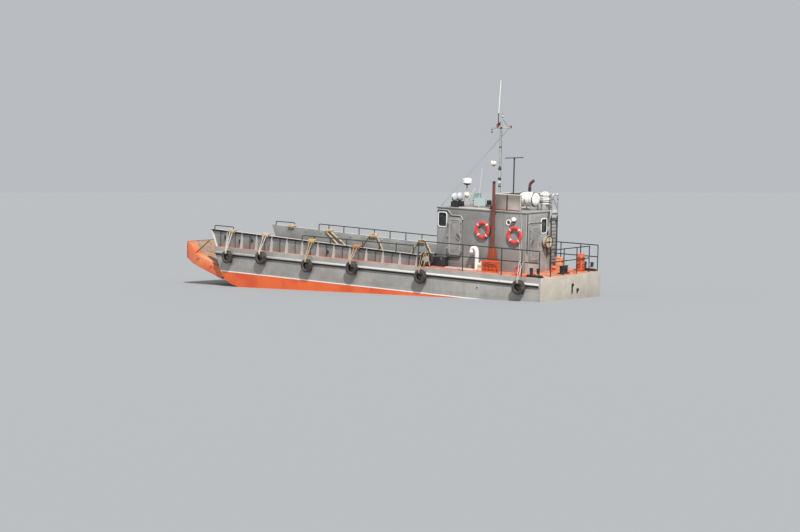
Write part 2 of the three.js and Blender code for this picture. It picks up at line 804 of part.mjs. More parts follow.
// Four-bladed propeller with its shaft, along X through its own centre
function propeller() {
  const pieces = [
    bar([-80, 0, 0], [70, 0, 0], 50, 12),
    bar([60, 0, 0], [-6860 - GEAR.propX, 0, 0], GEAR.shaft, PIN_SIDES),
  ];
  const blade = new THREE.Shape();
  blade.absellipse(0, 140, 80, 125, 0, 2 * Math.PI);
  for (let i = 0; i < 4; i += 1) {
    const geometry = new THREE.ExtrudeGeometry(blade, { depth: 12, bevelEnabled: false, curveSegments: 5 });
    geometry.translate(0, 0, -6);
    geometry.rotateY(Math.PI / 3);
    geometry.rotateX((i * Math.PI) / 2);
    pieces.push(solid(geometry));
  }
  return join(pieces);
}

// Rudder blade and stock, drawn from the stock's axis
function rudder() {
  const shape = new THREE.Shape();
  shape.moveTo(100, 90);
  shape.lineTo(110, 640);
  shape.lineTo(-160, 640);
  shape.lineTo(-180, 130);
  shape.lineTo(-150, 90);
  const blade = sidePlate(shape, -16, 16);
  const stock = bar([0, 0, 400], [0, 0, 750 - SEAT], GEAR.shaft, PIN_SIDES);
  return blade.add(stock);
}

place('hull', geometryOf(hull()), 'hull_grey');
placePair('rub_strake', rubStrake(), 'hull_grey');
placePair('coaming', coaming(), 'hull_grey');
place('hold_end_coaming', geometryOf(holdEndCoaming()), 'hull_grey');

const portRail = coamingRail(station(6400), station(12500), DECK + 830, DECK + 830);
place('coaming_rail_port', geometryOf(portRail), 'black_paint');
const starboardRail = coamingRail(station(6400), station(15100), DECK + 850, DECK + 970);
place('coaming_rail_starboard', mirrored(geometryOf(starboardRail)), 'black_paint');
placePair('bow_handrail', coamingRail(station(16600), station(17780), DECK + 930, DECK + 930), 'black_paint');
placePair('aft_rail', aftGuardRail(), 'black_paint');
place('stern_rail', geometryOf(sternGuardRail()), 'black_paint');
placeTyres();

placePair('wheelhouse_wall', sideWall(), 'house_grey');
place('wheelhouse_wall_fore', geometryOf(foreWall()), 'house_grey');
place('wheelhouse_wall_aft', geometryOf(aftWall()), 'house_grey');
place('wheelhouse_roof', geometryOf(houseRoof()), 'house_grey');
placeDoors();
place('helm_console', geometryOf(helmConsole()), 'black_paint', [station(5330), -300, DECK]);

const portExhaust = exhaust([[0, 0, 3620]]);
place('exhaust_port', geometryOf(portExhaust), 'exhaust_red', [station(2970), 1290, DECK]);
const starboardExhaust = exhaust([[0, 0, 3440], [-190, 0, 3590]]);
place('exhaust_starboard', geometryOf(starboardExhaust), 'exhaust_red', [station(2970), -1290, DECK]);
place('vent_cowl', geometryOf(ventCowl()), 'white_shell', [station(3650), 1400, DECK]);
placeLifeRings();
place('roof_parapet', geometryOf(roofParapet()), 'canvas_beige');
place('raft_canister', geometryOf(raftCanister()), 'white_shell', [station(2330), -300, HOUSE.top]);
place('radar_dome', geometryOf(radarDome()), 'white_shell', [station(5560), -450, HOUSE.top]);
place('searchlights', geometryOf(searchlights()), 'black_paint', [station(5060), 880, HOUSE.top]);
place('roof_screen', geometryOf(roofScreen()), 'screen_green', [station(4350), 500, HOUSE.top]);
place('mast', geometryOf(mast()), 'mast_grey');
place('t_aerial', geometryOf(tAerial()), 'mast_grey', [station(2900), 0, HOUSE.top]);
place('ladder', geometryOf(ladder()), 'black_paint');

placePair('bitts', bitts(), 'black_paint', [station(440), 1980, DECK]);
place('stern_locker', geometryOf(sternLocker()), 'orange_paint', [station(600), -1620, DECK]);
place('stern_box', geometryOf(sternBox()), 'orange_paint', [station(1200), -960, DECK]);
place('tool_crate', geometryOf(toolCrate()), 'orange_paint', [station(2790), 1620, DECK]);
place('black_locker', geometryOf(blackLocker()), 'black_paint', [station(5600), 1370, DECK]);

place('ramp', geometryOf(ramp()), 'orange_paint');
placePair('propeller', propeller(), 'bronze', [GEAR.propX, GEAR.y, GEAR.shaftZ]);
placePair('rudder', rudder(), 'black_paint', [GEAR.rudderX, GEAR.y, 0]);

export default ferry;
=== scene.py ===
"""The looks of a small landing ferry: paint, plating, pipework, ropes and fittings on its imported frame."""
import logging
import math
from collections.abc import Callable, Iterable, Sequence
from dataclasses import dataclass
from enum import Enum

import bmesh
import bpy
from mathutils import Matrix, Vector


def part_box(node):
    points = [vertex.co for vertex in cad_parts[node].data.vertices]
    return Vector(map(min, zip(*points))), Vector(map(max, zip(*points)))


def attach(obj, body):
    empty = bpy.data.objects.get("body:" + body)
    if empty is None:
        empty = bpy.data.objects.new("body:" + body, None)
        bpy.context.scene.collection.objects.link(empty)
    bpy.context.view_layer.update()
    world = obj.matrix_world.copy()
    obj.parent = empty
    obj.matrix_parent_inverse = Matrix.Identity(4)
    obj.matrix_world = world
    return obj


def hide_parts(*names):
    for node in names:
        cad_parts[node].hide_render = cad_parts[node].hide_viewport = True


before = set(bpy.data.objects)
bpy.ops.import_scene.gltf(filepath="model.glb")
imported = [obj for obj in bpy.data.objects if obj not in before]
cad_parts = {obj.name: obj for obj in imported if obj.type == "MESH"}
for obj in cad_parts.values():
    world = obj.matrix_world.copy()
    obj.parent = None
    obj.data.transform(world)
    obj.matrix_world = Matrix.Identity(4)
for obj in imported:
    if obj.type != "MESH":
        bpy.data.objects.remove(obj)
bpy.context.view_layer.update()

LOG = logging.getLogger("ferry")
Point = tuple[float, float, float]
Colour = tuple[float, float, float]
Outline = Sequence[tuple[float, float]]
Area = tuple[float, float, float, float]
Lines = Sequence[Sequence[Point]]
BODY = "ferry"
SIDES = ((1, "port"), (-1, "starboard"))
UP, FORE, AFT, PORT = (0, 0, 1), (1, 0, 0), (-1, 0, 0), (0, 1, 0)

HULL_LOW, HULL_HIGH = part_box("hull")
DECK = HULL_HIGH.z
STERN = HULL_LOW.x
HALF_BEAM = HULL_HIGH.y
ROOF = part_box("wheelhouse_roof")[1].z

# Spacing of the hull's frames, and of the knees that stand on every second one.
FRAME_STEP = 0.45
KNEE_STEP = 2 * FRAME_STEP
# X of the coamings' aft end, their height over the deck there and their rise for each metre forward.
COAMING_AFT, COAMING_RISE, COAMING_SLOPE = -2.7, 0.48, 0.3 / 11.85
# Numbers of the tyre fenders on each side.
TYRES = range(1, 7)
# Distance forward of the transom and height over the deck of each life ring.
RINGS = ((3.54, 1.615), (1.965, 1.505))
# Colours that many finishes are soiled with.
SOOT, RUST, DIRT = (0.012, 0.012, 0.012), (0.16, 0.055, 0.02), (0.09, 0.075, 0.055)


def station(forward: float) -> float:
    """The X of a place given by its distance forward of the transom, in metres."""
    return STERN + forward


class Slot(Enum):
    """Material slots of the record."""

    HULL = "hull_grey"
    HOUSE = "house_grey"
    ORANGE = "orange_paint"
    BLACK = "black_paint"
    TYRE = "tyre"
    RING = "ring_red"
    SHELL = "white_shell"
    EXHAUST = "exhaust_red"
    PARAPET = "parapet_beige"
    SCREEN = "screen_green"
    MAST = "mast_grey"
    BRONZE = "bronze"
    ROPE = "rope_tan"


class Term:
    """A shader socket that takes part in Python expressions, each adding its own node."""

    def __init__(self, sheet: "Sheet", socket: bpy.types.NodeSocket) -> None:
        """Keeps the node sheet and the socket."""
        self.sheet = sheet
        self.socket = socket

    def _math(self, operation: str, *others: "Term | float") -> "Term":
        """Adds a Math node on this value and the others.

        Args:
            operation: the Math node's operation.
            others: the second and third operands.

        Returns:
            The node's value.
        """
        inputs = {0: self}
        inputs.update({i + 1: other for i, other in enumerate(others)})
        return self.sheet.node("ShaderNodeMath", {"operation": operation}, inputs)

    def __add__(self, other: "Term | float") -> "Term":
        """The sum."""
        return self._math("ADD", other)

    __radd__ = __add__

    def __mul__(self, other: "Term | float") -> "Term":
        """The product."""
        return self._math("MULTIPLY", other)

    __rmul__ = __mul__

    def __sub__(self, other: "Term | float") -> "Term":
        """The difference."""
        return self._math("SUBTRACT", other)

    def __rsub__(self, other: float) -> "Term":
        """The difference from a number."""
        return self._math("MULTIPLY", -1.0)._math("ADD", other)

    def __gt__(self, other: "Term | float") -> "Term":
        """One where this value is the greater."""
        return self._math("GREATER_THAN", other)

    def __lt__(self, other: "Term | float") -> "Term":
        """One where this value is the smaller."""
        return self._math("LESS_THAN", other)

    def power(self, exponent: float) -> "Term":
        """This value to a power."""
        return self._math("POWER", exponent)

    def absolute(self) -> "Term":
        """This value without its sign."""
        return self._math("ABSOLUTE")

    def wave(self, period: float) -> "Term":
        """Ridges of height 0 to 1, one to each period."""
        return (self * (math.pi / period))._math("SINE").absolute()

    def zigzag(self, reach: float) -> "Term":
        """A line that climbs from 0 to the reach and falls back, over and over."""
        return self._math("PINGPONG", reach)

    def step(self, low: float, high: float) -> "Term":
        """A smooth rise from 0 at low to 1 at high."""
        inputs = {"Value": self, "From Min": low, "From Max": high}
        return self.sheet.node("ShaderNodeMapRange", {"interpolation_type": "SMOOTHSTEP"}, inputs)


class Sheet:
    """The node sheet of one material."""

    def __init__(self, name: str) -> None:
        """Makes the material with its Principled shader and output."""
        self.material = bpy.data.materials.new(name)
        self.material.use_nodes = True
        self.tree = self.material.node_tree
        self.tree.nodes.clear()
        self.shader = self.tree.nodes.new("ShaderNodeBsdfPrincipled")
        output = self.tree.nodes.new("ShaderNodeOutputMaterial")
        self.tree.links.new(self.shader.outputs["BSDF"], output.inputs["Surface"])
        self.place = self.node("ShaderNodeTexCoord", {}, {}, "Object")

    def node(self, kind: str, settings: dict, inputs: dict, output: str | int = 0) -> Term:
        """Adds a node of any type.

        Args:
            kind: the node's type.
            settings: the node's properties, set before its sockets; a ramp's stops go under "stops".
            inputs: socket name or number to a value or a term.
            output: name or number of the output wanted.

        Returns:
            The wanted output.
        """
        made = self.tree.nodes.new(kind)
        for key, value in settings.items():
            if key == "stops":
                self._stops(made.color_ramp, value)
            else:
                setattr(made, key, value)
        for key, value in inputs.items():
            self.feed(made.inputs[key], value)
        return Term(self, made.outputs[output])

    def feed(self, socket: bpy.types.NodeSocket, value: "Term | float | Sequence[float]") -> None:
        """Links a term to a socket, or sets the socket's own value."""
        if isinstance(value, Term):
            self.tree.links.new(value.socket, socket)
        elif socket.type == "RGBA":
            socket.default_value = (*value, 1.0)
        else:
            socket.default_value = value

    def _stops(self, ramp: bpy.types.ColorRamp, stops: Sequence[tuple[float, Colour]]) -> None:
        """Sets a colour ramp's stops."""
        while len(ramp.elements) < len(stops):
            ramp.elements.new(0.5)
        for element, (place, colour) in zip(ramp.elements, stops):
            element.position = place
            element.color = (*colour, 1.0)

    def axis(self, name: str) -> Term:
        """One coordinate of the place on the piece."""
        return self.node("ShaderNodeSeparateXYZ", {}, {0: self.place}, name)

    def stretched(self, scale: Point) -> Term:
        """The place on the piece, scaled along each axis."""
        return self.node("ShaderNodeMapping", {}, {"Vector": self.place, "Scale": scale})

    def noise(self, scale: float, detail: float = 4.0, vector: Term | None = None,
              rough: float = 0.55) -> Term:
        """Fractal noise from 0 to 1.

        Args:
            scale: cells to a metre.
            detail: octaves.
            vector: where it is read; the place on the piece if left out.
            rough: strength of the finer octaves.

        Returns:
            The noise value.
        """
        inputs = {"Vector": vector or self.place, "Scale": scale, "Detail": detail, "Roughness": rough}
        return self.node("ShaderNodeTexNoise", {}, inputs)

    def mix(self, share: "Term | float", first: "Term | Colour", second: "Term | Colour") -> Term:
        """A colour between two others."""
        inputs = {0: share, 6: first, 7: second}
        return self.node("ShaderNodeMix", {"data_type": "RGBA"}, inputs, 2)

    def facing(self, axis: str) -> Term:
        """One component of the surface's outward direction."""
        normal = self.node("ShaderNodeNewGeometry", {}, {}, "True Normal")
        return self.node("ShaderNodeSeparateXYZ", {}, {0: normal}, axis)

    def bump(self, height: Term, strength: float, distance: float) -> None:
        """Raises the surface by a height value."""
        inputs = {"Height": height, "Strength": strength, "Distance": distance}
        self.feed(self.shader.inputs["Normal"], self.node("ShaderNodeBump", {}, inputs))

    def dress(self, **inputs: "Term | float | Colour") -> bpy.types.Material:
        """Sets the shader's sockets by name, with underscores for spaces, and returns the material."""
        for key, value in inputs.items():
            self.feed(self.shader.inputs[key.replace("_", " ")], value)
        return self.material


@dataclass(frozen=True)
class Paint:
    """Weathered brush paint on steel or on a moulded part.

    Attributes:
        name: the material's name.
        colour: the paint where it is clean.
        faded: the paint where sun and salt have worn it.
        grime: how much dirt lies on it, 0 to 1.
        rust: how much rust shows, 0 to 1.
        gloss: roughness of the clean paint.
        metal: metallic share of the clean surface.
        grain: height of the brush marks and small dents, in metres.
    """

    name: str
    colour: Colour
    faded: Colour
    grime: float = 0.35
    rust: float = 0.25
    gloss: float = 0.55
    metal: float = 0.0
    grain: float = 0.002

    def base(self, sheet: Sheet) -> Term:
        """The paint's own colour over the surface, before dirt and rust."""
        patches = sheet.noise(1.3, 5.0).step(0.35, 0.7)
        return sheet.mix(patches, self.colour, self.faded)

    def weathered(self, sheet: Sheet, paint: Term) -> tuple[Term, Term]:
        """Lays dirt, running streaks and rust spots over a paint colour.

        Args:
            sheet: the material's nodes.
            paint: the clean colour.

        Returns:
            The weathered colour, and the mask of the rust.
        """
        streaks = sheet.noise(1.0, 6.0, sheet.stretched((9.0, 9.0, 0.55)), 0.62).step(0.5, 0.78)
        cloud = sheet.noise(2.4, 6.0).step(0.42, 0.75)
        dirty = sheet.mix(streaks * cloud * self.grime, paint, DIRT)
        spots = sheet.noise(11.0, 8.0, None, 0.7).step(0.66 - 0.1 * self.rust, 0.76)
        runs = sheet.noise(1.0, 7.0, sheet.stretched((14.0, 14.0, 0.9)), 0.7).step(0.64, 0.8)
        rusty = (spots + runs * 0.6) * self.rust
        return sheet.mix(rusty, dirty, RUST), rusty

    def relief(self, sheet: Sheet) -> Term:
        """Brush marks and small dents, in metres."""
        return (sheet.noise(26.0, 6.0) * 0.3 + sheet.noise(3.0, 3.0)) * self.grain

    def material(self) -> bpy.types.Material:
        """Builds the material."""
        sheet = Sheet(self.name)
        colour, rusty = self.weathered(sheet, self.base(sheet))
        rough = sheet.noise(6.0, 5.0) * 0.22 + rusty * 0.3 + (self.gloss - 0.11)
        sheet.bump(self.relief(sheet), 0.7, 1.0)
        return sheet.dress(Base_Color=colour, Roughness=rough, Metallic=self.metal)


@dataclass(frozen=True)
class HullPaint(Paint):
    """Grey topsides over a white line and an orange-red boot top, with rubber marks and painted tyre shadows
    where the fenders hang.

    Attributes:
        boot: the boot top's clean colour.
        boot_faded: the boot top where it has worn.
        line: height of the white line's lower and upper edge.
        transom: the transom's clean colour.
        transom_faded: the transom where it has worn.
        soot: Y, top and bottom of each soot streak on the transom.
    """

    boot: Colour = (0.84, 0.15, 0.035)
    boot_faded: Colour = (0.68, 0.09, 0.026)
    line: tuple[float, float] = (DECK - 1.092, DECK - 1.046)
    transom: Colour = (0.425, 0.378, 0.315)
    transom_faded: Colour = (0.49, 0.442, 0.37)
    soot: tuple[Point, ...] = ((-0.085, 1.52, 1.1), (-0.47, 1.3, 1.1))

    def sooty(self, sheet: Sheet) -> Term:
        """Mask of the soot that runs down from the outlets in the transom."""
        across = sheet.axis("Y") + (sheet.noise(6.0, 3.0) - 0.5) * 0.05
        height = sheet.axis("Z")
        mask: Term | float = 0.0
        for y, top, low in self.soot:
            beside = 1 - (across - y).absolute().step(0.035, 0.075)
            mask = beside * height.step(low - 0.05, low + 0.1) * (1 - height.step(top, top + 0.04)) + mask
        return mask * (sheet.facing("X") < -0.9)

    def scuffs_and_tyre_shadows(self, sheet: Sheet) -> Term:
        """Mask of the rubber marks and painted tyre shadows behind and under the tyres."""
        along = sheet.axis("X") + (sheet.noise(5.0, 4.0) - 0.5) * 0.16
        port = sheet.axis("Y") > 0.0
        total: Term | float = 0.0
        for side, word in SIDES:
            marks: Term | float = 0.0
            for i in TYRES:
                low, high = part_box(f"tyre_fender_{word}_{i}")
                marks = 1 - (along - (low.x + high.x) / 2).absolute().step(0.12, 0.3) + marks
            total = marks * (port if side > 0 else 1 - port) + total
        height = sheet.axis("Z") + (sheet.noise(2.0, 4.0) - 0.5) * 0.3
        return total * height.step(0.98, 1.25) * sheet.noise(9.0, 6.0).step(0.3, 0.7)

    def relief(self, sheet: Sheet) -> Term:
        """Plating hollowed between the frames, with dents, in metres."""
        dents = sheet.noise(1.1, 2.0).step(0.35, 0.75)
        plating = super().relief(sheet) + sheet.axis("X").wave(FRAME_STEP) * dents * -0.006
        return plating + sheet.noise(0.7, 2.0) * 0.03

    def base(self, sheet: Sheet) -> Term:
        """Grey above the line, white on it and orange-red below."""
        height = sheet.axis("Z") + sheet.noise(2.0, 3.0) * 0.012 - 0.006
        # Darkened behind and under each tyre: rubber marks, and painted shadow of the tyre.
        side = sheet.mix(self.scuffs_and_tyre_shadows(sheet) * 0.45, super().base(sheet), (0.05, 0.045, 0.042))
        aft = sheet.mix(sheet.noise(1.7, 6.0).step(0.4, 0.7), self.transom, self.transom_faded)
        topsides = sheet.mix(self.sooty(sheet), sheet.mix(sheet.facing("X") < -0.5, side, aft), SOOT)
        lower = sheet.mix(sheet.noise(0.9, 6.0).step(0.4, 0.68), self.boot, self.boot_faded)
        with_line = sheet.mix(height > self.line[0], lower, (0.86, 0.84, 0.8))
        return sheet.mix(height > self.line[1], with_line, topsides)


@dataclass(frozen=True)
class CoamingPaint(Paint):
    """Grey paint with a painted shadow under the top flange, whose edge climbs towards the bow, painted
    highlight on the flange and the knees, and painted shade on the flat bars.

    Attributes:
        band: depth under the top edge where the painted shadow of the flange starts and ends.
        knee_x: X of the aftmost knee.
    """

    band: tuple[float, float] = (0.016, 0.1)
    knee_x: float = STERN + 6.176

    def base(self, sheet: Sheet) -> Term:
        """Grey, with painted highlight on the flange and the knees, painted shade on the flat bars, and
        painted shadow in the band under the flange.
        """
        below = (sheet.axis("X") - COAMING_AFT) * COAMING_SLOPE + (DECK + COAMING_RISE) - sheet.axis("Z")
        sides = super().base(sheet)
        # Painted highlight: faces that don't face sideways, such as the flange's top, are pale.
        flange = sheet.mix(sheet.facing("Y").absolute() < 0.5, sides, (0.6, 0.59, 0.55))
        proud = (sheet.axis("Y").absolute() > 2.009) * (below > 0.02)
        bay = (sheet.axis("X") - self.knee_x).zigzag(KNEE_STEP / 2)
        # Painted highlight: the knees are pale, as on their sunlit faces.
        knees = sheet.mix(proud * (bay < 0.02), flange, (0.52, 0.505, 0.47))
        # Painted shade: the flat bars are near black, as in their shadow.
        bars = sheet.mix(proud * (bay > KNEE_STEP / 2 - 0.02), knees, (0.06, 0.06, 0.058))
        upright = (sheet.facing("Y").absolute() > 0.5) * (sheet.axis("Y").absolute() > 2.002)
        # Painted shadow of the flange: a dark band on the upright faces just under the top edge.
        high, low = self.band
        band = below.step(high - 0.004, high) * (1 - below.step(low, low + 0.02))
        return sheet.mix(band * upright, bars, (0.02, 0.021, 0.024))


@dataclass(frozen=True)
class StrakePaint(Paint):
    """Grey paint, pale along the upper face from wear and painted highlight, with painted shade, near black,
    underneath.
    """

    def base(self, sheet: Sheet) -> Term:
        """Pale above from wear and painted highlight, painted shade below, with chips along the crown."""
        up = sheet.facing("Z")
        # Upward faces turn pale: wear along the crown, and painted highlight on the lit top.
        worn_and_lit = up + (sheet.noise(2.2, 6.0, None, 0.65) - 0.5) * 0.9
        upper = sheet.mix(worn_and_lit.step(-0.05, 0.4), super().base(sheet), (0.5, 0.475, 0.445))
        # Painted shade: faces that look down are near black.
        return sheet.mix(up.step(-0.2, 0.0), (0.022, 0.02, 0.02), upper)


@dataclass(frozen=True)
class DeckPaint(Paint):
    """Orange-red deck paint, worn through to pale primer and dirt where people walk."""

    def base(self, sheet: Sheet) -> Term:
        """The deck colour with trodden patches."""
        worn = sheet.noise(1.8, 8.0, None, 0.66).step(0.43, 0.6)
        return sheet.mix(worn * 0.85, super().base(sheet), (0.5, 0.34, 0.25))


@dataclass(frozen=True)
class RampPaint(Paint):
    """The bow ramp: orange outside, scraped to tan steel over the inner face and lip, dark at the outer tip,
    with painted shade at the heel.

    Attributes:
        scraped: colour of the scraped steel.
        tip: X where the dark tip starts.
        heel: X where the painted shade at the heel, under the hinge, ends.
    """

    scraped: Colour = (0.34, 0.225, 0.15)
    tip: float = 10.79
    heel: float = 9.2

    def base(self, sheet: Sheet) -> Term:
        """Orange, with the scraped area growing over the upward faces towards the centreline."""
        paint = super().base(sheet)
        across = sheet.axis("Y").absolute()
        inner = (1 - across.step(1.15, 1.85)) * sheet.facing("Z").step(0.1, 0.4)
        side = sheet.facing("Y").absolute() * sheet.axis("X").step(9.4, 10.6) * 0.14
        ragged = (sheet.noise(3.2, 8.0, None, 0.68) * 0.8 + inner + side).step(0.66, 0.92)
        tan = sheet.mix(sheet.noise(7.0, 7.0).step(0.4, 0.7), self.scraped, (0.24, 0.15, 0.1))
        worn = sheet.mix(ragged, paint, tan)
        outer = (sheet.axis("X") + (sheet.noise(4.0, 6.0) - 0.5) * 0.1).step(self.tip, self.tip + 0.05)
        dark = sheet.mix(outer * 0.9, worn, (0.05, 0.03, 0.025))
        streaks = sheet.noise(2.6, 9.0, None, 0.7).step(0.52, 0.7)
        dark = sheet.mix(streaks * 0.55, dark, (0.22, 0.075, 0.04))
        # Painted shade: the heel by the hinge, except on faces that look sideways, is dark as in the hull's
        # shadow.
        heel = 1 - sheet.axis("X").step(self.heel - 0.15, self.heel + 0.1)
        heel = heel * (sheet.facing("Y").absolute() < 0.7)
        return sheet.mix(heel * 0.85, dark, (0.05, 0.035, 0.03))


@dataclass(frozen=True)
class ExhaustPaint(Paint):
    """Red-brown pipe paint, orange on the trunk below and sooty black at the top.

    Attributes:
        trunk_top: height where the trunk's orange ends.
        soot_low: height where the soot begins.
    """

    trunk_top: float = DECK + 1.0
    soot_low: float = DECK + 3.54

    def base(self, sheet: Sheet) -> Term:
        """Three bands by height with ragged edges."""
        height = sheet.axis("Z") + sheet.noise(5.0, 5.0) * 0.1
        lower = sheet.mix(height > self.trunk_top + 0.05, (0.28, 0.05, 0.018), super().base(sheet))
        soot = height.step(self.soot_low, self.soot_low + 0.06) * (sheet.axis("Y") > 0.0)
        return sheet.mix(soot, lower, SOOT)


@dataclass(frozen=True)
class Rubber:
    """Old tyre rubber, dusty and brown on its sidewalls.

    Attributes:
        name: the material's name.
        colour: the clean rubber.
        dust: the dust on it.
    """

    name: str = "tyre_rubber"
    colour: Colour = (0.028, 0.024, 0.022)
    dust: Colour = (0.115, 0.085, 0.068)

    def material(self) -> bpy.types.Material:
        """Builds the material."""
        sheet = Sheet(self.name)
        cloud = sheet.noise(5.0, 7.0, None, 0.66)
        colour = sheet.mix(cloud.step(0.36, 0.72) * 0.85, self.colour, self.dust)
        sheet.bump(sheet.noise(60.0, 5.0) + cloud, 0.5, 0.003)
        return sheet.dress(Base_Color=colour, Roughness=cloud * 0.2 + 0.62)


@dataclass(frozen=True)
class Shell:
    """Moulded plastic or glass fibre with a light soiling.

    Attributes:
        name: the material's name.
        colour: the clean moulding.
        soil: colour of the soiling.
        amount: how much soiling there is, 0 to 1.
        gloss: roughness of the clean moulding.
    """

    name: str
    colour: Colour
    soil: Colour = (0.3, 0.26, 0.2)
    amount: float = 0.35
    gloss: float = 0.38

    def material(self) -> bpy.types.Material:
        """Builds the material."""
        sheet = Sheet(self.name)
        marks = sheet.noise(8.0, 7.0, None, 0.65).step(0.46, 0.8)
        colour = sheet.mix(marks * self.amount, self.colour, self.soil)
        sheet.bump(sheet.noise(40.0, 4.0), 0.25, 0.001)
        return sheet.dress(Base_Color=colour, Roughness=marks * 0.25 + self.gloss, Coat_Weight=0.15)


@dataclass(frozen=True)
class BareMetal:
    """Bright or cast metal with handling marks.

    Attributes:
        name: the material's name.
        colour: the metal.
        tarnish: colour where it has dulled.
        gloss: roughness of the polished metal.
    """

    name: str
    colour: Colour
    tarnish: Colour
    gloss: float = 0.3

    def material(self) -> bpy.types.Material:
        """Builds the material."""
        sheet = Sheet(self.name)
        dull = sheet.noise(7.0, 6.0, None, 0.65).step(0.4, 0.75)
        colour = sheet.mix(dull * 0.8, self.colour, self.tarnish)
        sheet.bump(sheet.noise(70.0, 4.0), 0.2, 0.0008)
        return sheet.dress(Base_Color=colour, Roughness=dull * 0.35 + self.gloss, Metallic=1 - dull * 0.4)


@dataclass(frozen=True)
class Glass:
    """Dark window glass, or a clear sheet in a tint.

    Attributes:
        name: the material's name.
        colour: the tint.
        clear: share of the light that passes.
    """

    name: str
    colour: Colour
    clear: float

    def material(self) -> bpy.types.Material:
        """Builds the material."""
        sheet = Sheet(self.name)
        smear = sheet.noise(3.0, 5.0).step(0.4, 0.8)
        return sheet.dress(
            Base_Color=sheet.mix(smear * 0.3, self.colour, (0.3, 0.33, 0.33)),
            Roughness=smear * 0.12 + 0.06,
            Alpha=1.0 - self.clear * (1 - smear * 0.4),
        )


@dataclass(frozen=True)
class RopeFibre:
    """Laid rope of natural or pale synthetic fibre.

    Attributes:
        name: the material's name.
        colour: the clean fibre.
        soiled: the soiled fibre.
    """

    name: str
    colour: Colour
    soiled: Colour

    def material(self) -> bpy.types.Material:
        """Builds the material."""
        sheet = Sheet(self.name)
        soil = sheet.noise(9.0, 6.0).step(0.35, 0.75)
        fibres = sheet.noise(1.0, 4.0, sheet.stretched((260.0, 260.0, 90.0)))
        colour = sheet.mix(soil, self.colour, self.soiled)
        sheet.bump(fibres, 0.6, 0.0015)
        return sheet.dress(Base_Color=colour, Roughness=0.9)


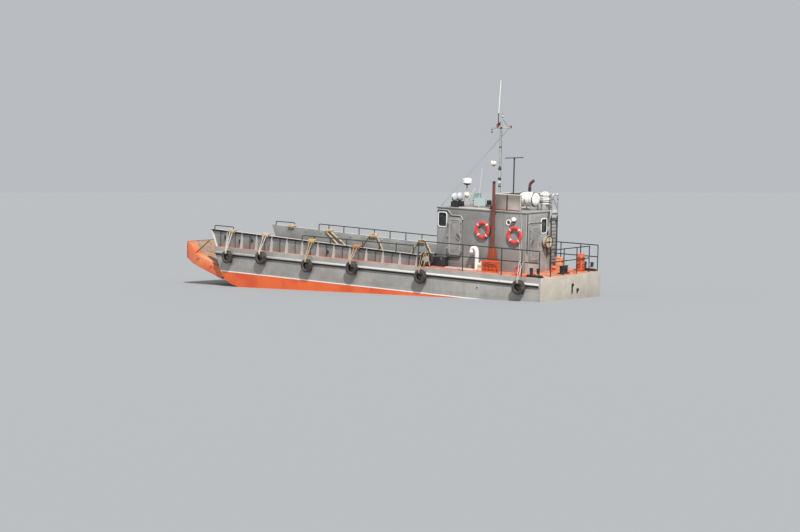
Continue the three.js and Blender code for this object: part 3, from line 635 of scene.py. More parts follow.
class Palette:
    """Every finish of the ferry, each built once."""

    FINISHES = {
        "topsides": HullPaint("hull_paint", (0.285, 0.268, 0.245), (0.37, 0.348, 0.318),
                              0.6, 0.35, 0.5, 0.0, 0.003),
        "steel_grey": Paint("steel_grey_paint", (0.3, 0.3, 0.285), (0.42, 0.41, 0.385), 0.5, 0.35),
        "deck": DeckPaint("deck_paint", (0.55, 0.1, 0.035), (0.62, 0.17, 0.075), 0.5, 0.4, 0.6),
        "hold": Paint("hold_paint", (0.27, 0.275, 0.26), (0.38, 0.37, 0.345), 0.8, 0.6, 0.6),
        "hold_floor": Paint("hold_floor_steel", (0.2, 0.18, 0.16), (0.33, 0.27, 0.22), 0.9, 1.0, 0.85),
        "house": Paint("house_paint", (0.22, 0.212, 0.2), (0.272, 0.26, 0.246), 0.45, 0.22, 0.52),
        "house_aft": Paint("house_aft_paint", (0.3, 0.292, 0.276), (0.38, 0.37, 0.35), 0.45, 0.2, 0.52),
        "house_pale": Paint("house_pale_paint", (0.42, 0.41, 0.385), (0.55, 0.53, 0.49), 0.5, 0.3),
        "white": Paint("white_paint", (0.8, 0.79, 0.75), (0.7, 0.68, 0.62), 0.4, 0.3, 0.45),
        "black": Paint("black_paint", (0.016, 0.017, 0.02), (0.04, 0.04, 0.042), 0.3, 0.35, 0.42),
        "orange": Paint("orange_paint", (0.62, 0.1, 0.032), (0.7, 0.2, 0.085), 0.5, 0.4, 0.5),
        "coaming": CoamingPaint("coaming_paint", (0.235, 0.24, 0.232), (0.31, 0.31, 0.295), 0.5, 0.3, 0.55),
        "strake": StrakePaint("strake_paint", (0.34, 0.32, 0.3), (0.45, 0.42, 0.39), 0.6, 0.4, 0.55),
        "hull_red": Paint("bottom_paint", (0.62, 0.085, 0.03), (0.5, 0.07, 0.03), 0.6, 0.5, 0.6),
        "door_rim": Paint("door_rim_paint", (0.3, 0.287, 0.27), (0.37, 0.353, 0.33), 0.4, 0.2, 0.5),
        "ramp_lip": Paint("ramp_lip_paint", (0.26, 0.04, 0.028), (0.13, 0.045, 0.03), 0.6, 0.8, 0.6),
        "box_orange": Paint("box_orange_paint", (0.7, 0.22, 0.1), (0.78, 0.48, 0.3), 0.5, 0.5, 0.5),
        "ramp": RampPaint("ramp_paint", (0.68, 0.13, 0.045), (0.76, 0.26, 0.12), 0.6, 0.6, 0.55),
        "exhaust": ExhaustPaint("exhaust_paint", (0.145, 0.032, 0.024), (0.2, 0.065, 0.052), 0.4, 0.4, 0.6),
        "parapet": Paint("parapet_paint", (0.49, 0.43, 0.37), (0.58, 0.52, 0.45), 0.5, 0.15, 0.7),
        "mast": Paint("mast_paint", (0.27, 0.275, 0.265), (0.42, 0.42, 0.4), 0.3, 0.2, 0.5),
        "white_shell": Shell("white_shell", (0.84, 0.83, 0.78)),
        "ring_red": Shell("ring_red", (0.72, 0.045, 0.03), (0.45, 0.1, 0.08), 0.4, 0.45),
        "lamp_grey": Shell("lamp_grey", (0.5, 0.52, 0.52), (0.3, 0.31, 0.31), 0.3, 0.3),
        "ring_white": Shell("ring_white", (0.8, 0.78, 0.74)),
        "crate_orange": Shell("crate_orange", (0.66, 0.1, 0.022), (0.3, 0.07, 0.03), 0.6, 0.45),
        "can_cream": Shell("can_cream", (0.8, 0.72, 0.55), (0.5, 0.42, 0.3), 0.5, 0.4),
        "pale_board": Shell("pale_board", (0.62, 0.6, 0.55), (0.36, 0.33, 0.28), 0.6, 0.6),
        "cover_navy": Shell("cover_navy", (0.02, 0.027, 0.06), (0.06, 0.06, 0.08), 0.5, 0.6),
        "tyre": Rubber(),
        "bronze": BareMetal("cast_bronze", (0.52, 0.33, 0.12), (0.16, 0.16, 0.1), 0.3),
        "galvanised": BareMetal("galvanised_steel", (0.55, 0.56, 0.57), (0.35, 0.34, 0.32), 0.42),
        "window": Glass("window_glass", (0.02, 0.028, 0.03), 0.35),
        "screen": Glass("screen_sheet", (0.25, 0.5, 0.43), 0.25),
        "screen_clear": Glass("screen_clear_sheet", (0.5, 0.6, 0.57), 0.12),
        "lens": Glass("lamp_lens", (0.75, 0.78, 0.78), 0.2),
        "rope_tan": RopeFibre("rope_tan", (0.62, 0.48, 0.3), (0.36, 0.25, 0.15)),
        "rope_white": RopeFibre("rope_white", (0.78, 0.75, 0.66), (0.5, 0.43, 0.33)),
        "rope_orange": RopeFibre("rope_orange", (0.56, 0.25, 0.09), (0.3, 0.14, 0.06)),
        "rope_yellow": RopeFibre("rope_yellow", (0.66, 0.46, 0.17), (0.4, 0.26, 0.11)),
        "rope_brown": RopeFibre("rope_brown", (0.22, 0.13, 0.07), (0.12, 0.07, 0.04)),
    }

    def __init__(self) -> None:
        """Starts with nothing built."""
        self._built: dict[str, bpy.types.Material] = {}

    def get(self, name: str) -> bpy.types.Material:
        """The material of that finish, built on first use."""
        if name not in self._built:
            self._built[name] = self.FINISHES[name].material()
        return self._built[name]


PALETTE = Palette()


def pour(source: bmesh.types.BMesh, into: bmesh.types.BMesh) -> None:
    """Adds one mesh under construction to another and frees it."""
    mesh = bpy.data.meshes.new("form")
    source.to_mesh(mesh)
    source.free()
    into.from_mesh(mesh)
    bpy.data.meshes.remove(mesh)


def soften(part: bmesh.types.BMesh, width: float, degrees: float) -> None:
    """Rounds the edges at which faces meet at more than an angle."""
    limit = math.radians(degrees)
    sharp = [e for e in part.edges if len(e.link_faces) == 2 and e.calc_face_angle(0) > limit]
    bmesh.ops.bevel(part, geom=sharp, offset=width, segments=2, profile=0.5, affect="EDGES",
                    clamp_overlap=True, material=-1)


def skin(part: bmesh.types.BMesh, rings: Sequence[Sequence[bmesh.types.BMVert]]) -> None:
    """Joins rings that have as many corners as each other, and closes both ends."""
    for lower, upper in zip(rings, rings[1:]):
        for i in range(len(lower)):
            j = (i + 1) % len(lower)
            part.faces.new((lower[i], lower[j], upper[j], upper[i]))
    part.faces.new(reversed(rings[0]))
    part.faces.new(rings[-1])


def across(normal: str, along: float, a: float, b: float) -> Point:
    """A point from its place along an axis and its other two coordinates in the order X, Y, Z."""
    return {"X": (along, a, b), "Y": (a, along, b), "Z": (a, b, along)}[normal]


def link(name: str, data: bpy.types.ID) -> bpy.types.Object:
    """Puts a new object in the scene."""
    made = bpy.data.objects.new(name, data)
    bpy.context.scene.collection.objects.link(made)
    return made


class Shape:
    """Closed forms gathered into one piece, each with the finish it was added with."""

    def __init__(self, *finishes: str) -> None:
        """Starts an empty piece whose finishes are numbered in the given order."""
        self.bm = bmesh.new()
        self.finishes = list(finishes)

    def number(self, finish: str) -> int:
        """The number of a finish on the piece, which takes it up if it hasn't got it yet."""
        if finish not in self.finishes:
            self.finishes.append(finish)
        return self.finishes.index(finish)

    def absorb(self, part: bmesh.types.BMesh, finish: str, bevel: float = 0.0) -> None:
        """Adds a form to the piece.

        Args:
            part: the form; it is freed.
            finish: name of its finish.
            bevel: width of the rounding on its sharp edges.
        """
        bmesh.ops.recalc_face_normals(part, faces=part.faces)
        if bevel:
            soften(part, bevel, 28)
        number = self.number(finish)
        for face in part.faces:
            face.material_index = number
        pour(part, self.bm)

    def prism(self, outline: Outline, normal: str, low: float, high: float, finish: str,
              bevel: float = 0.0) -> None:
        """Adds an outline drawn out along an axis.

        Args:
            outline: corners in the plane's own two axes, in the order X, Y, Z.
            normal: the axis it is drawn out along.
            low: where it starts on that axis.
            high: where it ends.
            finish: name of its finish.
            bevel: width of the rounding on its edges.
        """
        part = bmesh.new()
        rings = [[part.verts.new(across(normal, along, a, b)) for a, b in outline] for along in (low, high)]
        count = len(outline)
        part.faces.new(rings[0])
        part.faces.new(reversed(rings[1]))
        for i in range(count):
            j = (i + 1) % count
            part.faces.new((rings[0][j], rings[0][i], rings[1][i], rings[1][j]))
        self.absorb(part, finish, bevel)

    def box(self, low: Point, high: Point, finish: str, bevel: float = 0.006) -> None:
        """Adds a block between two corners."""
        corners = [(low[0], low[1]), (high[0], low[1]), (high[0], high[1]), (low[0], high[1])]
        self.prism(corners, "Z", low[2], high[2], finish, bevel)

    def pad(self, x: float, y: float, half_x: float, half_y: float, low: float, high: float, finish: str,
            bevel: float = 0.006) -> None:
        """Adds a block round an upright line, between two heights."""
        self.box((x - half_x, y - half_y, low), (x + half_x, y + half_y, high), finish, bevel)

    def lathe(self, profile: Outline, origin: Point, axis: Point, finish: str,
              sides: int = 40) -> None:
        """Adds a turned form.

        Args:
            profile: radius and height along the axis; it starts and ends on the axis, or closes on itself.
            origin: the place on the axis where the height is 0.
            axis: the direction of the axis.
            finish: name of its finish.
            sides: faces round it.
        """
        part = bmesh.new()
        turn = Vector(UP).rotation_difference(Vector(axis)).to_matrix()
        closed = profile[0] == profile[-1]
        points = profile[:-1] if closed else profile
        rings = []
        for radius, height in points:
            if radius < 1e-6:
                rings.append([part.verts.new(turn @ Vector((0, 0, height)) + Vector(origin))])
                continue
            ring = []
            for i in range(sides):
                angle = math.tau * i / sides
                spot = Vector((radius * math.cos(angle), radius * math.sin(angle), height))
                ring.append(part.verts.new(turn @ spot + Vector(origin)))
            rings.append(ring)
        spans = list(zip(rings, rings[1:])) + ([(rings[-1], rings[0])] if closed else [])
        for lower, upper in spans:
            for i in range(sides):
                j = (i + 1) % sides
                corners = [lower[i % len(lower)], lower[j % len(lower)], upper[j % len(upper)],
                           upper[i % len(upper)]]
                part.faces.new(list(dict.fromkeys(corners)))
        self.absorb(part, finish)

    def bar(self, start: Point, end: Point, radius: float, finish: str, sides: int = 14) -> None:
        """Adds a round bar with softened ends between two points."""
        run = Vector(end) - Vector(start)
        soft = min(radius * 0.15, run.length * 0.2)
        profile = [(0, 0), (radius - soft, 0), (radius, soft), (radius, run.length - soft),
                   (radius - soft, run.length), (0, run.length)]
        self.lathe(profile, start, tuple(run.normalized()), finish, sides)

    def post(self, x: float, y: float, low: float, high: float, radius: float, finish: str,
             sides: int = 14) -> None:
        """Adds an upright round bar between two heights."""
        self.bar((x, y, low), (x, y, high), radius, finish, sides)

    def disc(self, place: Point, axis: Point, radius: float, low: float, high: float, finish: str,
             sides: int = 24) -> None:
        """Adds a round disc between two heights along an axis."""
        self.lathe([(0, low), (radius, low), (radius, high), (0, high)], place, axis, finish, sides)

    def band(self, place: Point, axis: Point, inner: float, outer: float, low: float, high: float,
             finish: str, sides: int = 32) -> None:
        """Adds a hollow round band between two radii and two heights along an axis."""
        corners = [(inner, low), (outer, low), (outer, high), (inner, high), (inner, low)]
        self.lathe(corners, place, axis, finish, sides)

    def sweep(self, points: Sequence[Point], radius: float, finish: str, sides: int = 10,
              bend: float = 0.0) -> None:
        """Adds a tube along a line of points.

        Args:
            points: the corners of its centre line.
            radius: the tube's radius.
            finish: name of its finish.
            sides: faces round it.
            bend: radius of the bends at the corners.
        """
        line = rounded_line([Vector(p) for p in points], bend)
        part = bmesh.new()
        frame_up = Vector((0.13, 0.21, 0.97)).normalized()
        rings = []
        for i, spot in enumerate(line):
            ahead = (line[min(i + 1, len(line) - 1)] - line[max(i - 1, 0)]).normalized()
            side = ahead.cross(frame_up)
            if side.length < 0.05:
                side = ahead.cross(Vector(FORE))
            side.normalize()
            frame_up = side.cross(ahead).normalized()
            ring = []
            for k in range(sides):
                angle = math.tau * k / sides
                reach = (side * math.cos(angle) + frame_up * math.sin(angle)) * radius
                ring.append(part.verts.new(spot + reach))
            rings.append(ring)
        skin(part, rings)
        self.absorb(part, finish)

    def ring(self, centre: Point, axis: Point, radius: float, tube: float, finish: str,
             sides: int = 40) -> None:
        """Adds a ring of round section."""
        profile = []
        for k in range(13):
            angle = math.tau * k / 12
            profile.append((radius + tube * math.cos(angle), tube * math.sin(angle)))
        profile[-1] = profile[0]
        self.lathe(profile, centre, axis, finish, sides)

    def loop(self, outer: Outline, inner: Outline, normal: str, low: float,
             high: float, finish: str, bevel: float = 0.0) -> None:
        """Adds a frame between two outlines with as many corners as each other, drawn out along an axis."""
        part = bmesh.new()
        rings = []
        for along in (low, high):
            for outline in (outer, inner):
                rings.append([part.verts.new(across(normal, along, a, b)) for a, b in outline])
        count = len(outer)
        for one, two in ((0, 1), (1, 3), (3, 2), (2, 0)):
            for i in range(count):
                j = (i + 1) % count
                part.faces.new((rings[one][i], rings[one][j], rings[two][j], rings[two][i]))
        self.absorb(part, finish, bevel)

    def rim(self, area: Area, width: float, radii: tuple[float, float], normal: str,
            low: float, high: float, finish: str, bevel: float = 0.0) -> None:
        """Adds a rounded frame of one width, drawn out along an axis.

        Args:
            area: low and high limit on each of the plane's own two axes, in the order X, Y, Z.
            width: the frame's width.
            radii: radius of its outer and of its inner corners.
            normal: the axis it is drawn out along.
            low: where it starts on that axis.
            high: where it ends.
            finish: name of its finish.
            bevel: width of the rounding on its edges.
        """
        outer, inner = (inset(area, by, radius) for by, radius in zip((0.0, width), radii))
        self.loop(outer, inner, normal, low, high, finish, bevel)

    def take(self, other: "Shape", matrix: Matrix) -> None:
        """Adds all of another piece's forms, placed by a matrix; the other piece is used up."""
        other.bm.transform(matrix)
        if matrix.determinant() < 0:
            bmesh.ops.reverse_faces(other.bm, faces=other.bm.faces[:])
        numbers = [self.number(finish) for finish in other.finishes]
        for face in other.bm.faces:
            face.material_index = numbers[face.material_index]
        pour(other.bm, self.bm)

    def mesh(self, name: str) -> bpy.types.Mesh:
        """Closes the gathering and returns it as a mesh with its finishes."""
        mesh = bpy.data.meshes.new(name)
        self.bm.to_mesh(mesh)
        self.bm.free()
        for finish in self.finishes:
            mesh.materials.append(PALETTE.get(finish))
        return mesh


def rounded_line(points: list[Vector], bend: float, steps: int = 6) -> list[Vector]:
    """A line of points with its corners rounded.

    Args:
        points: the corners.
        bend: radius of the rounding.
        steps: parts of each rounding.

    Returns:
        The rounded line.
    """
    if not bend:
        return points
    line = [points[0]]
    for before, corner, after in zip(points, points[1:], points[2:]):
        reach = min(bend, (before - corner).length * 0.48, (after - corner).length * 0.48)
        start = corner + (before - corner).normalized() * reach
        end = corner + (after - corner).normalized() * reach
        for i in range(steps + 1):
            t = i / steps
            line.append(start * (1 - t) ** 2 + corner * 2 * t * (1 - t) + end * t**2)
    line.append(points[-1])
    return line


def smooth(lines: Lines, bend: float, steps: int = 4) -> list[list[Point]]:
    """Lines of points with their corners rounded."""
    return [[tuple(p) for p in rounded_line([Vector(q) for q in line], bend, steps)] for line in lines]


def coil(centre: Point, normal: str, radius: float, turns: float, rise: float = 0.0,
         steps: int = 24) -> list[Point]:
    """Points of a coil.

    Args:
        centre: where its axis starts.
        normal: the axis it runs along.
        radius: its radius.
        turns: how many turns it has.
        rise: its whole length along the axis.
        steps: points to a turn.

    Returns:
        The points in order.
    """
    points = []
    count = round(turns * steps)
    for i in range(count + 1):
        angle = math.tau * i / steps
        a, b, along = radius * math.cos(angle), radius * math.sin(angle), rise * i / count
        points.append(tuple(Vector(centre) + Vector(across(normal, along, a, b))))
    return points


def rounded_rectangle(a0: float, a1: float, b0: float, b1: float, radius: float,
                      steps: int = 5) -> list[tuple[float, float]]:
    """Corners of a rectangle with rounded corners, anticlockwise."""
    outline = []
    for centre_a, centre_b, start in ((a1, b1, 0), (a0, b1, 1), (a0, b0, 2), (a1, b0, 3)):
        middle_a = centre_a - radius if centre_a == a1 else centre_a + radius
        middle_b = centre_b - radius if centre_b == b1 else centre_b + radius
        for i in range(steps + 1):
            angle = math.pi / 2 * (start + i / steps)
            outline.append((middle_a + radius * math.cos(angle), middle_b + radius * math.sin(angle)))
    return outline


def inset(area: Area, by: float, radius: float) -> list[tuple[float, float]]:
    """Corners of a rounded rectangle that lies inside another by a distance."""
    a0, a1, b0, b1 = area
    return rounded_rectangle(a0 + by, a1 - by, b0 + by, b1 - by, radius)


def publish(name: str, shape: Shape, replaces: Iterable[str] = (), body: str = BODY,
            crease: float = 34.0) -> bpy.types.Object:
    """Puts gathered forms in the scene as a piece of the ferry.

    Args:
        name: the piece's name.
        shape: its forms, in place; they are used up.
        replaces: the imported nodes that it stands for.
        body: the body that it rides on.
        crease: faces that meet at more than this many degrees keep a sharp edge.

    Returns:
        The piece.
    """
    mesh = shape.mesh(name)
    piece = link(name, mesh)
    mesh.polygons.foreach_set("use_smooth", [True] * len(mesh.polygons))
    mesh.set_sharp_from_angle(angle=math.radians(crease))
    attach(piece, body)
    if replaces:
        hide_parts(*replaces)
    LOG.info("%s: %d faces on %s", name, len(mesh.polygons), body)
    return piece


def refined(node: str, bevel: float, *finishes: str,
            choose: Callable[[bmesh.types.BMFace], int] | None = None) -> Shape:
    """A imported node's own form with its flat faces joined and its edges softened.

    Args:
        node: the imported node.
        bevel: width of the softened edges.
        finishes: names of the finishes.
        choose: gives a face its finish number; without it all faces have the first.

    Returns:
        The form, open for more to be added.
    """
    part = bmesh.new()
    part.from_mesh(bpy.data.objects[node].data)
    bmesh.ops.remove_doubles(part, verts=part.verts, dist=2e-5)
    bmesh.ops.dissolve_limit(part, angle_limit=math.radians(0.6), verts=part.verts, edges=part.edges)
    for face in part.faces:
        face.material_index = choose(face) if choose else 0
    if bevel:
        soften(part, bevel, 25)
    bmesh.ops.triangulate(part, faces=[f for f in part.faces if len(f.verts) > 4])
    shape = Shape(*finishes)
    pour(part, shape.bm)
    return shape


class Tree:
    """A Geometry Nodes tree with named inputs, run once on a carrier mesh."""

    def __init__(self, name: str, **inputs: float | int) -> None:
        """Makes the tree; a whole number makes an Integer input, any other a Float input."""
        self.group = bpy.data.node_groups.new(name, "GeometryNodeTree")
        self.group.interface.new_socket("Geometry", in_out="INPUT", socket_type="NodeSocketGeometry")
        for key, value in inputs.items():
            kind = "NodeSocketInt" if isinstance(value, int) else "NodeSocketFloat"
            self.group.interface.new_socket(key, in_out="INPUT", socket_type=kind).default_value = value
        self.group.interface.new_socket("Geometry", in_out="OUTPUT", socket_type="NodeSocketGeometry")
        self.source = self.group.nodes.new("NodeGroupInput")

    def given(self, name: str) -> bpy.types.NodeSocket:
        """The socket of one of the tree's own inputs."""
        return self.source.outputs[name]

    def node(self, kind: str, settings: dict, inputs: dict, output: str | int = 0) -> bpy.types.NodeSocket:
        """Adds a node.

        Args:
            kind: the node's type.
            settings: its properties, set before its sockets.
            inputs: socket name or number to a value or another node's output.
            output: name or number of the output wanted.

        Returns:
            The wanted output.
        """
        made = self.group.nodes.new(kind)
        for key, value in settings.items():
            setattr(made, key, value)
        for key, value in inputs.items():
            if isinstance(value, bpy.types.NodeSocket):
                self.group.links.new(value, made.inputs[key])
            else:
                made.inputs[key].default_value = value
        return made.outputs[output]

    def math(self, operation: str, first: "bpy.types.NodeSocket | float",
             second: "bpy.types.NodeSocket | float") -> bpy.types.NodeSocket:
        """Adds a Math node on two values."""
        return self.node("ShaderNodeMath", {"operation": operation}, {0: first, 1: second})

    def circle(self, resolution: bpy.types.NodeSocket | int,
               radius: bpy.types.NodeSocket | float) -> bpy.types.NodeSocket:
        """Adds a circle."""
        inputs = {"Resolution": resolution, "Radius": radius}
        return self.node("GeometryNodeCurvePrimitiveCircle", {"mode": "RADIUS"}, inputs)

    def line(self) -> bpy.types.NodeSocket:
        """Turns the carrier's edges into curves."""
        return self.node("GeometryNodeMeshToCurve", {}, {"Mesh": self.given("Geometry")})

    def spots(self) -> bpy.types.NodeSocket:
        """Adds points spaced evenly along the carrier's edges."""
        inputs = {"Curve": self.line(), "Length": self.given("Spacing")}
        even = self.node("GeometryNodeResampleCurve", {"mode": "LENGTH"}, inputs)
        return self.node("GeometryNodeCurveToPoints", {"mode": "EVALUATED"}, {"Curve": even})

    def tube(self, curve: bpy.types.NodeSocket, section: bpy.types.NodeSocket) -> bpy.types.NodeSocket:
        """Draws a section along a curve, with closed ends."""
        inputs = {"Curve": curve, "Profile Curve": section, "Fill Caps": True}
        return self.node("GeometryNodeCurveToMesh", {}, inputs)

    def close(self, geometry: bpy.types.NodeSocket, finish: str) -> "Tree":
        """Ends the tree with real geometry in one finish."""
        real = self.node("GeometryNodeRealizeInstances", {}, {"Geometry": geometry})
        smooth = self.node("GeometryNodeSetShadeSmooth", {}, {"Geometry": real, "Shade Smooth": True})
        dressed = self.node("GeometryNodeSetMaterial", {},
                            {"Geometry": smooth, "Material": PALETTE.get(finish)})
        out = self.group.nodes.new("NodeGroupOutput")
        self.group.links.new(dressed, out.inputs["Geometry"])
        return self

    def run(self, verts: Sequence[Point], edges: Sequence[tuple[int, int]],
            **values: float | int) -> bpy.types.Mesh:
        """Runs the tree on a mesh of points and edges.

        Args:
            verts: the carrier's points.
            edges: the carrier's edges.
            values: the tree's inputs by name.

        Returns:
            The tree's result as a plain mesh.
        """
        carrier_mesh = bpy.data.meshes.new("carrier")
        carrier_mesh.from_pydata([tuple(v) for v in verts], edges, [])
        carrier = link("carrier", carrier_mesh)
        modifier = carrier.modifiers.new("tree", "NODES")
        modifier.node_group = self.group
        sockets = {item.name: item.identifier for item in self.group.interface.items_tree
                   if item.in_out == "INPUT"}
        for key, value in values.items():
            modifier[sockets[key]] = value
        evaluated = carrier.evaluated_get(bpy.context.evaluated_depsgraph_get())
        result = bpy.data.meshes.new_from_object(evaluated)
        carrier.modifiers.remove(modifier)
        bpy.data.objects.remove(carrier)
        bpy.data.meshes.remove(carrier_mesh)
        return result


def chain(lines: Lines) -> tuple[list[Point], list[tuple[int, int]]]:
    """Points and edges of several open lines."""
    verts: list[Point] = []
    edges: list[tuple[int, int]] = []
    for line in lines:
        start = len(verts)
        verts.extend(tuple(p) for p in line)
        edges.extend((start + i, start + i + 1) for i in range(len(line) - 1))
    return verts, edges


def pipe_tree(finish: str) -> Tree:
    """Round pipe along every line of the carrier, with bent corners and closed ends."""
    tree = Tree(f"pipework_{finish}", Radius=0.016, Bend=0.06, Sides=12)
    inputs = {"Curve": tree.line(), "Count": 5, "Radius": tree.given("Bend")}
    bent = tree.node("GeometryNodeFilletCurve", {"mode": "POLY"}, inputs)
    section = tree.circle(tree.given("Sides"), tree.given("Radius"))
    return tree.close(tree.tube(bent, section), finish)


def rope_tree(finish: str) -> Tree:
    """Three-strand rope laid along every line of the carrier."""
    tree = Tree(f"rope_{finish}", Radius=0.014, Lay=9.0)
    even = tree.node("GeometryNodeResampleCurve", {"mode": "LENGTH"}, {"Curve": tree.line(), "Length": 0.022})
    along = tree.node("GeometryNodeSplineParameter", {}, {}, "Length")
    tilt = tree.math("MULTIPLY", tree.math("MULTIPLY", along, tree.given("Lay")), math.tau)
    laid = tree.node("GeometryNodeSetCurveTilt", {}, {"Curve": even, "Tilt": tilt})
    circle = tree.circle(12, 1.0)
    share = tree.node("GeometryNodeSplineParameter", {}, {}, "Factor")
    lobe = tree.math("COSINE", tree.math("MULTIPLY", share, 3 * math.tau), 0.0)
    size = tree.math("MULTIPLY", tree.math("ADD", tree.math("MULTIPLY", lobe, 0.16), 0.9),
                     tree.given("Radius"))
    place = tree.node("GeometryNodeInputPosition", {}, {})
    scaled = tree.node("ShaderNodeVectorMath", {"operation": "SCALE"}, {0: place, "Scale": size})
    section = tree.node("GeometryNodeSetPosition", {}, {"Geometry": circle, "Position": scaled})
    return tree.close(tree.tube(laid, section), finish)


def stud_tree(finish: str) -> Tree:
    """Flat-headed studs spaced evenly along every line of the carrier, turned about X."""
    tree = Tree(f"studs_{finish}", Radius=0.012, Height=0.01, Spacing=0.15, Turn_X=-math.pi / 2)
    outer = tree.given("Radius")
    sizes = {"Radius Top": tree.math("MULTIPLY", outer, 0.6), "Radius Bottom": outer,
             "Depth": tree.given("Height")}
    head = tree.node("GeometryNodeMeshCone", {}, {"Vertices": 10, "Side Segments": 1, **sizes})
    turn = tree.node("ShaderNodeCombineXYZ", {}, {0: tree.given("Turn_X")})
    inputs = {"Points": tree.spots(), "Instance": head, "Rotation": turn}
    placed = tree.node("GeometryNodeInstanceOnPoints", {}, inputs)
    return tree.close(placed, finish)


def slat_tree(finish: str) -> Tree:
    """Upright flat bars spaced evenly along every line of the carrier."""
    tree = Tree(f"slats_{finish}", Length=0.02, Depth=0.02, Height=0.4, Spacing=0.1)
    sides = {i: tree.given(name) for i, name in enumerate(("Length", "Depth", "Height"))}
    slat = tree.node("GeometryNodeMeshCube", {}, {"Size": tree.node("ShaderNodeCombineXYZ", {}, sides)})
    placed = tree.node("GeometryNodeInstanceOnPoints", {}, {"Points": tree.spots(), "Instance": slat})
    return tree.close(placed, finish)


class Kit:
    """The Geometry Nodes trees in use, each built once for its finish."""

    MAKERS = {"pipe": pipe_tree, "rope": rope_tree, "stud": stud_tree, "slat": slat_tree}

    def __init__(self) -> None:
        """Starts with nothing built."""
        self._trees: dict[tuple[str, str], Tree] = {}

    def run(self, kind: str, finish: str, lines: Lines, **values: float | int) -> bpy.types.Mesh:
        """Runs a tree along lines of points.

        Args:
            kind: which tree.
            finish: name of its finish.
            lines: the lines that it follows.
            values: its inputs by name.

        Returns:
            The resulting mesh.
        """
        if (kind, finish) not in self._trees:
            self._trees[kind, finish] = self.MAKERS[kind](finish)
        return self._trees[kind, finish].run(*chain(lines), **values)

    def add(self, shape: Shape, kind: str, finish: str, lines: Lines, **values: float | int) -> None:
        """Runs a tree and adds the result to a piece; its arguments are those of run."""
        mesh = self.run(kind, finish, lines, **values)
        part = bmesh.new()
        part.from_mesh(mesh)
        bpy.data.meshes.remove(mesh)
        shape.absorb(part, finish)


KIT = Kit()


@dataclass
class Studio:
    """Camera, floor and light.

    Attributes:
        width_px: width of the frame in its own pixels.
        centre_row: the frame's middle row.
        focal_px: focal length in the frame's pixels.
        horizon_row: row of the horizon.
        heading: turn of the ferry from across the view, in radians.
        trim: bow-up tilt, in radians.
        heel: tilt towards port, in radians.
        transom: the transom's deck centre seen from the camera, in metres right, up and ahead.
        draught: depth of the water surface under that point, square to the surface.
        sun: direction towards the key light, in the ferry's axes.
    """

    width_px: float = 800.0
    centre_row: float = 266.0
    focal_px: float = 1686.954
    horizon_row: float = 187.5
    heading: float = 0.66533
    trim: float = 0.050176
    heel: float = 0.030644
    transom: Point = (6.8338, -3.4717, 67.1476)
    draught: float = 0.9792
    sun: Point = (-0.485, 0.387, 0.787)

    def axes(self) -> tuple[Vector, Vector, Vector]:
        """The ferry's forward, port and up axes in the view's right, up and ahead."""
        turn, trim = self.heading, self.trim
        ahead = Vector((-math.cos(turn) * math.cos(trim), math.sin(trim), math.sin(turn) * math.cos(trim)))
        starboard = Vector((math.sin(turn), 0, math.cos(turn)))
        up = ahead.cross(starboard)
        up = up if up.y > 0 else -up
        tilted = starboard * math.cos(self.heel) + up * math.sin(self.heel)
        return ahead, -tilted, up * math.cos(self.heel) - starboard * math.sin(self.heel)

    def in_ferry(self, view: Vector) -> Vector:
        """A direction of the view in the ferry's axes."""
        return Vector([view.dot(axis) for axis in self.axes()])

    def camera(self) -> None:
        """Sets the camera where the photograph was taken."""
        pitch = math.atan((self.centre_row - self.horizon_row) / self.focal_px)
        right = self.in_ferry(Vector((1, 0, 0)))
        up = self.in_ferry(Vector((0, math.cos(pitch), math.sin(pitch))))
        back = -self.in_ferry(Vector((0, -math.sin(pitch), math.cos(pitch))))
        place = -self.in_ferry(Vector(self.transom)) + Vector((STERN, 0, DECK))
        data = bpy.data.cameras.new("camera")
        data.sensor_fit = "HORIZONTAL"
        data.lens = self.focal_px * data.sensor_width / self.width_px
        data.clip_end = 4000.0
        camera = link("camera", data)
        turned = Matrix((right, up, back)).transposed().to_4x4()
        camera.matrix_world = Matrix.Translation(place) @ turned
        bpy.context.scene.camera = camera

    def floor(self) -> None:
        """Lays a plain pale floor where the water surface is."""
        up = self.in_ferry(Vector((0, 1, 0)))
        centre = up * (Vector((STERN, 0, DECK)) - up * self.draught).dot(up)
        side = up.cross(Vector(FORE)).normalized()
        front = side.cross(up)
        reach, sides = 1500.0, 96
        part = bmesh.new()
        rim = []
        for i in range(sides):
            angle = math.tau * i / sides
            rim.append(part.verts.new(centre + (front * math.cos(angle) + side * math.sin(angle)) * reach))
        part.faces.new(rim)
        part.normal_update()
        if part.faces[:][0].normal.dot(up) < 0:
            bmesh.ops.reverse_faces(part, faces=part.faces[:])
        mesh = bpy.data.meshes.new("floor")
        part.to_mesh(mesh)
        part.free()
        sheet = Sheet("floor")
        mesh.materials.append(sheet.dress(Base_Color=(0.294, 0.303, 0.31), Roughness=0.8))
        floor = link("floor", mesh)

    def light(self) -> None:
        """Hangs a key light high on the port quarter, a weak wide fill and an even surround."""
        for name, towards, strength, spread in (
            ("key", self.sun, 4.7, 2.5),
            ("fill", (0.75, 0.5, 0.35), 0.3, 60.0),
        ):
            data = bpy.data.lights.new(name, "SUN")
            data.energy = strength
            data.angle = math.radians(spread)
            lamp = link(name, data)
            lamp.rotation_mode = "QUATERNION"
            lamp.rotation_quaternion = Vector(towards).to_track_quat("Z", "Y")
        world = bpy.data.worlds.new("surround")
        world.use_nodes = True
        background = world.node_tree.nodes["Background"]
        background.inputs["Color"].default_value = (0.80, 0.84, 0.88, 1.0)
        background.inputs["Strength"].default_value = 0.6
        bpy.context.scene.world = world
        bpy.context.scene.view_settings.view_transform = "Standard"

    def build(self) -> None:
        """Makes the camera, the floor and the lights."""
        self.camera()
        self.floor()
        self.light()


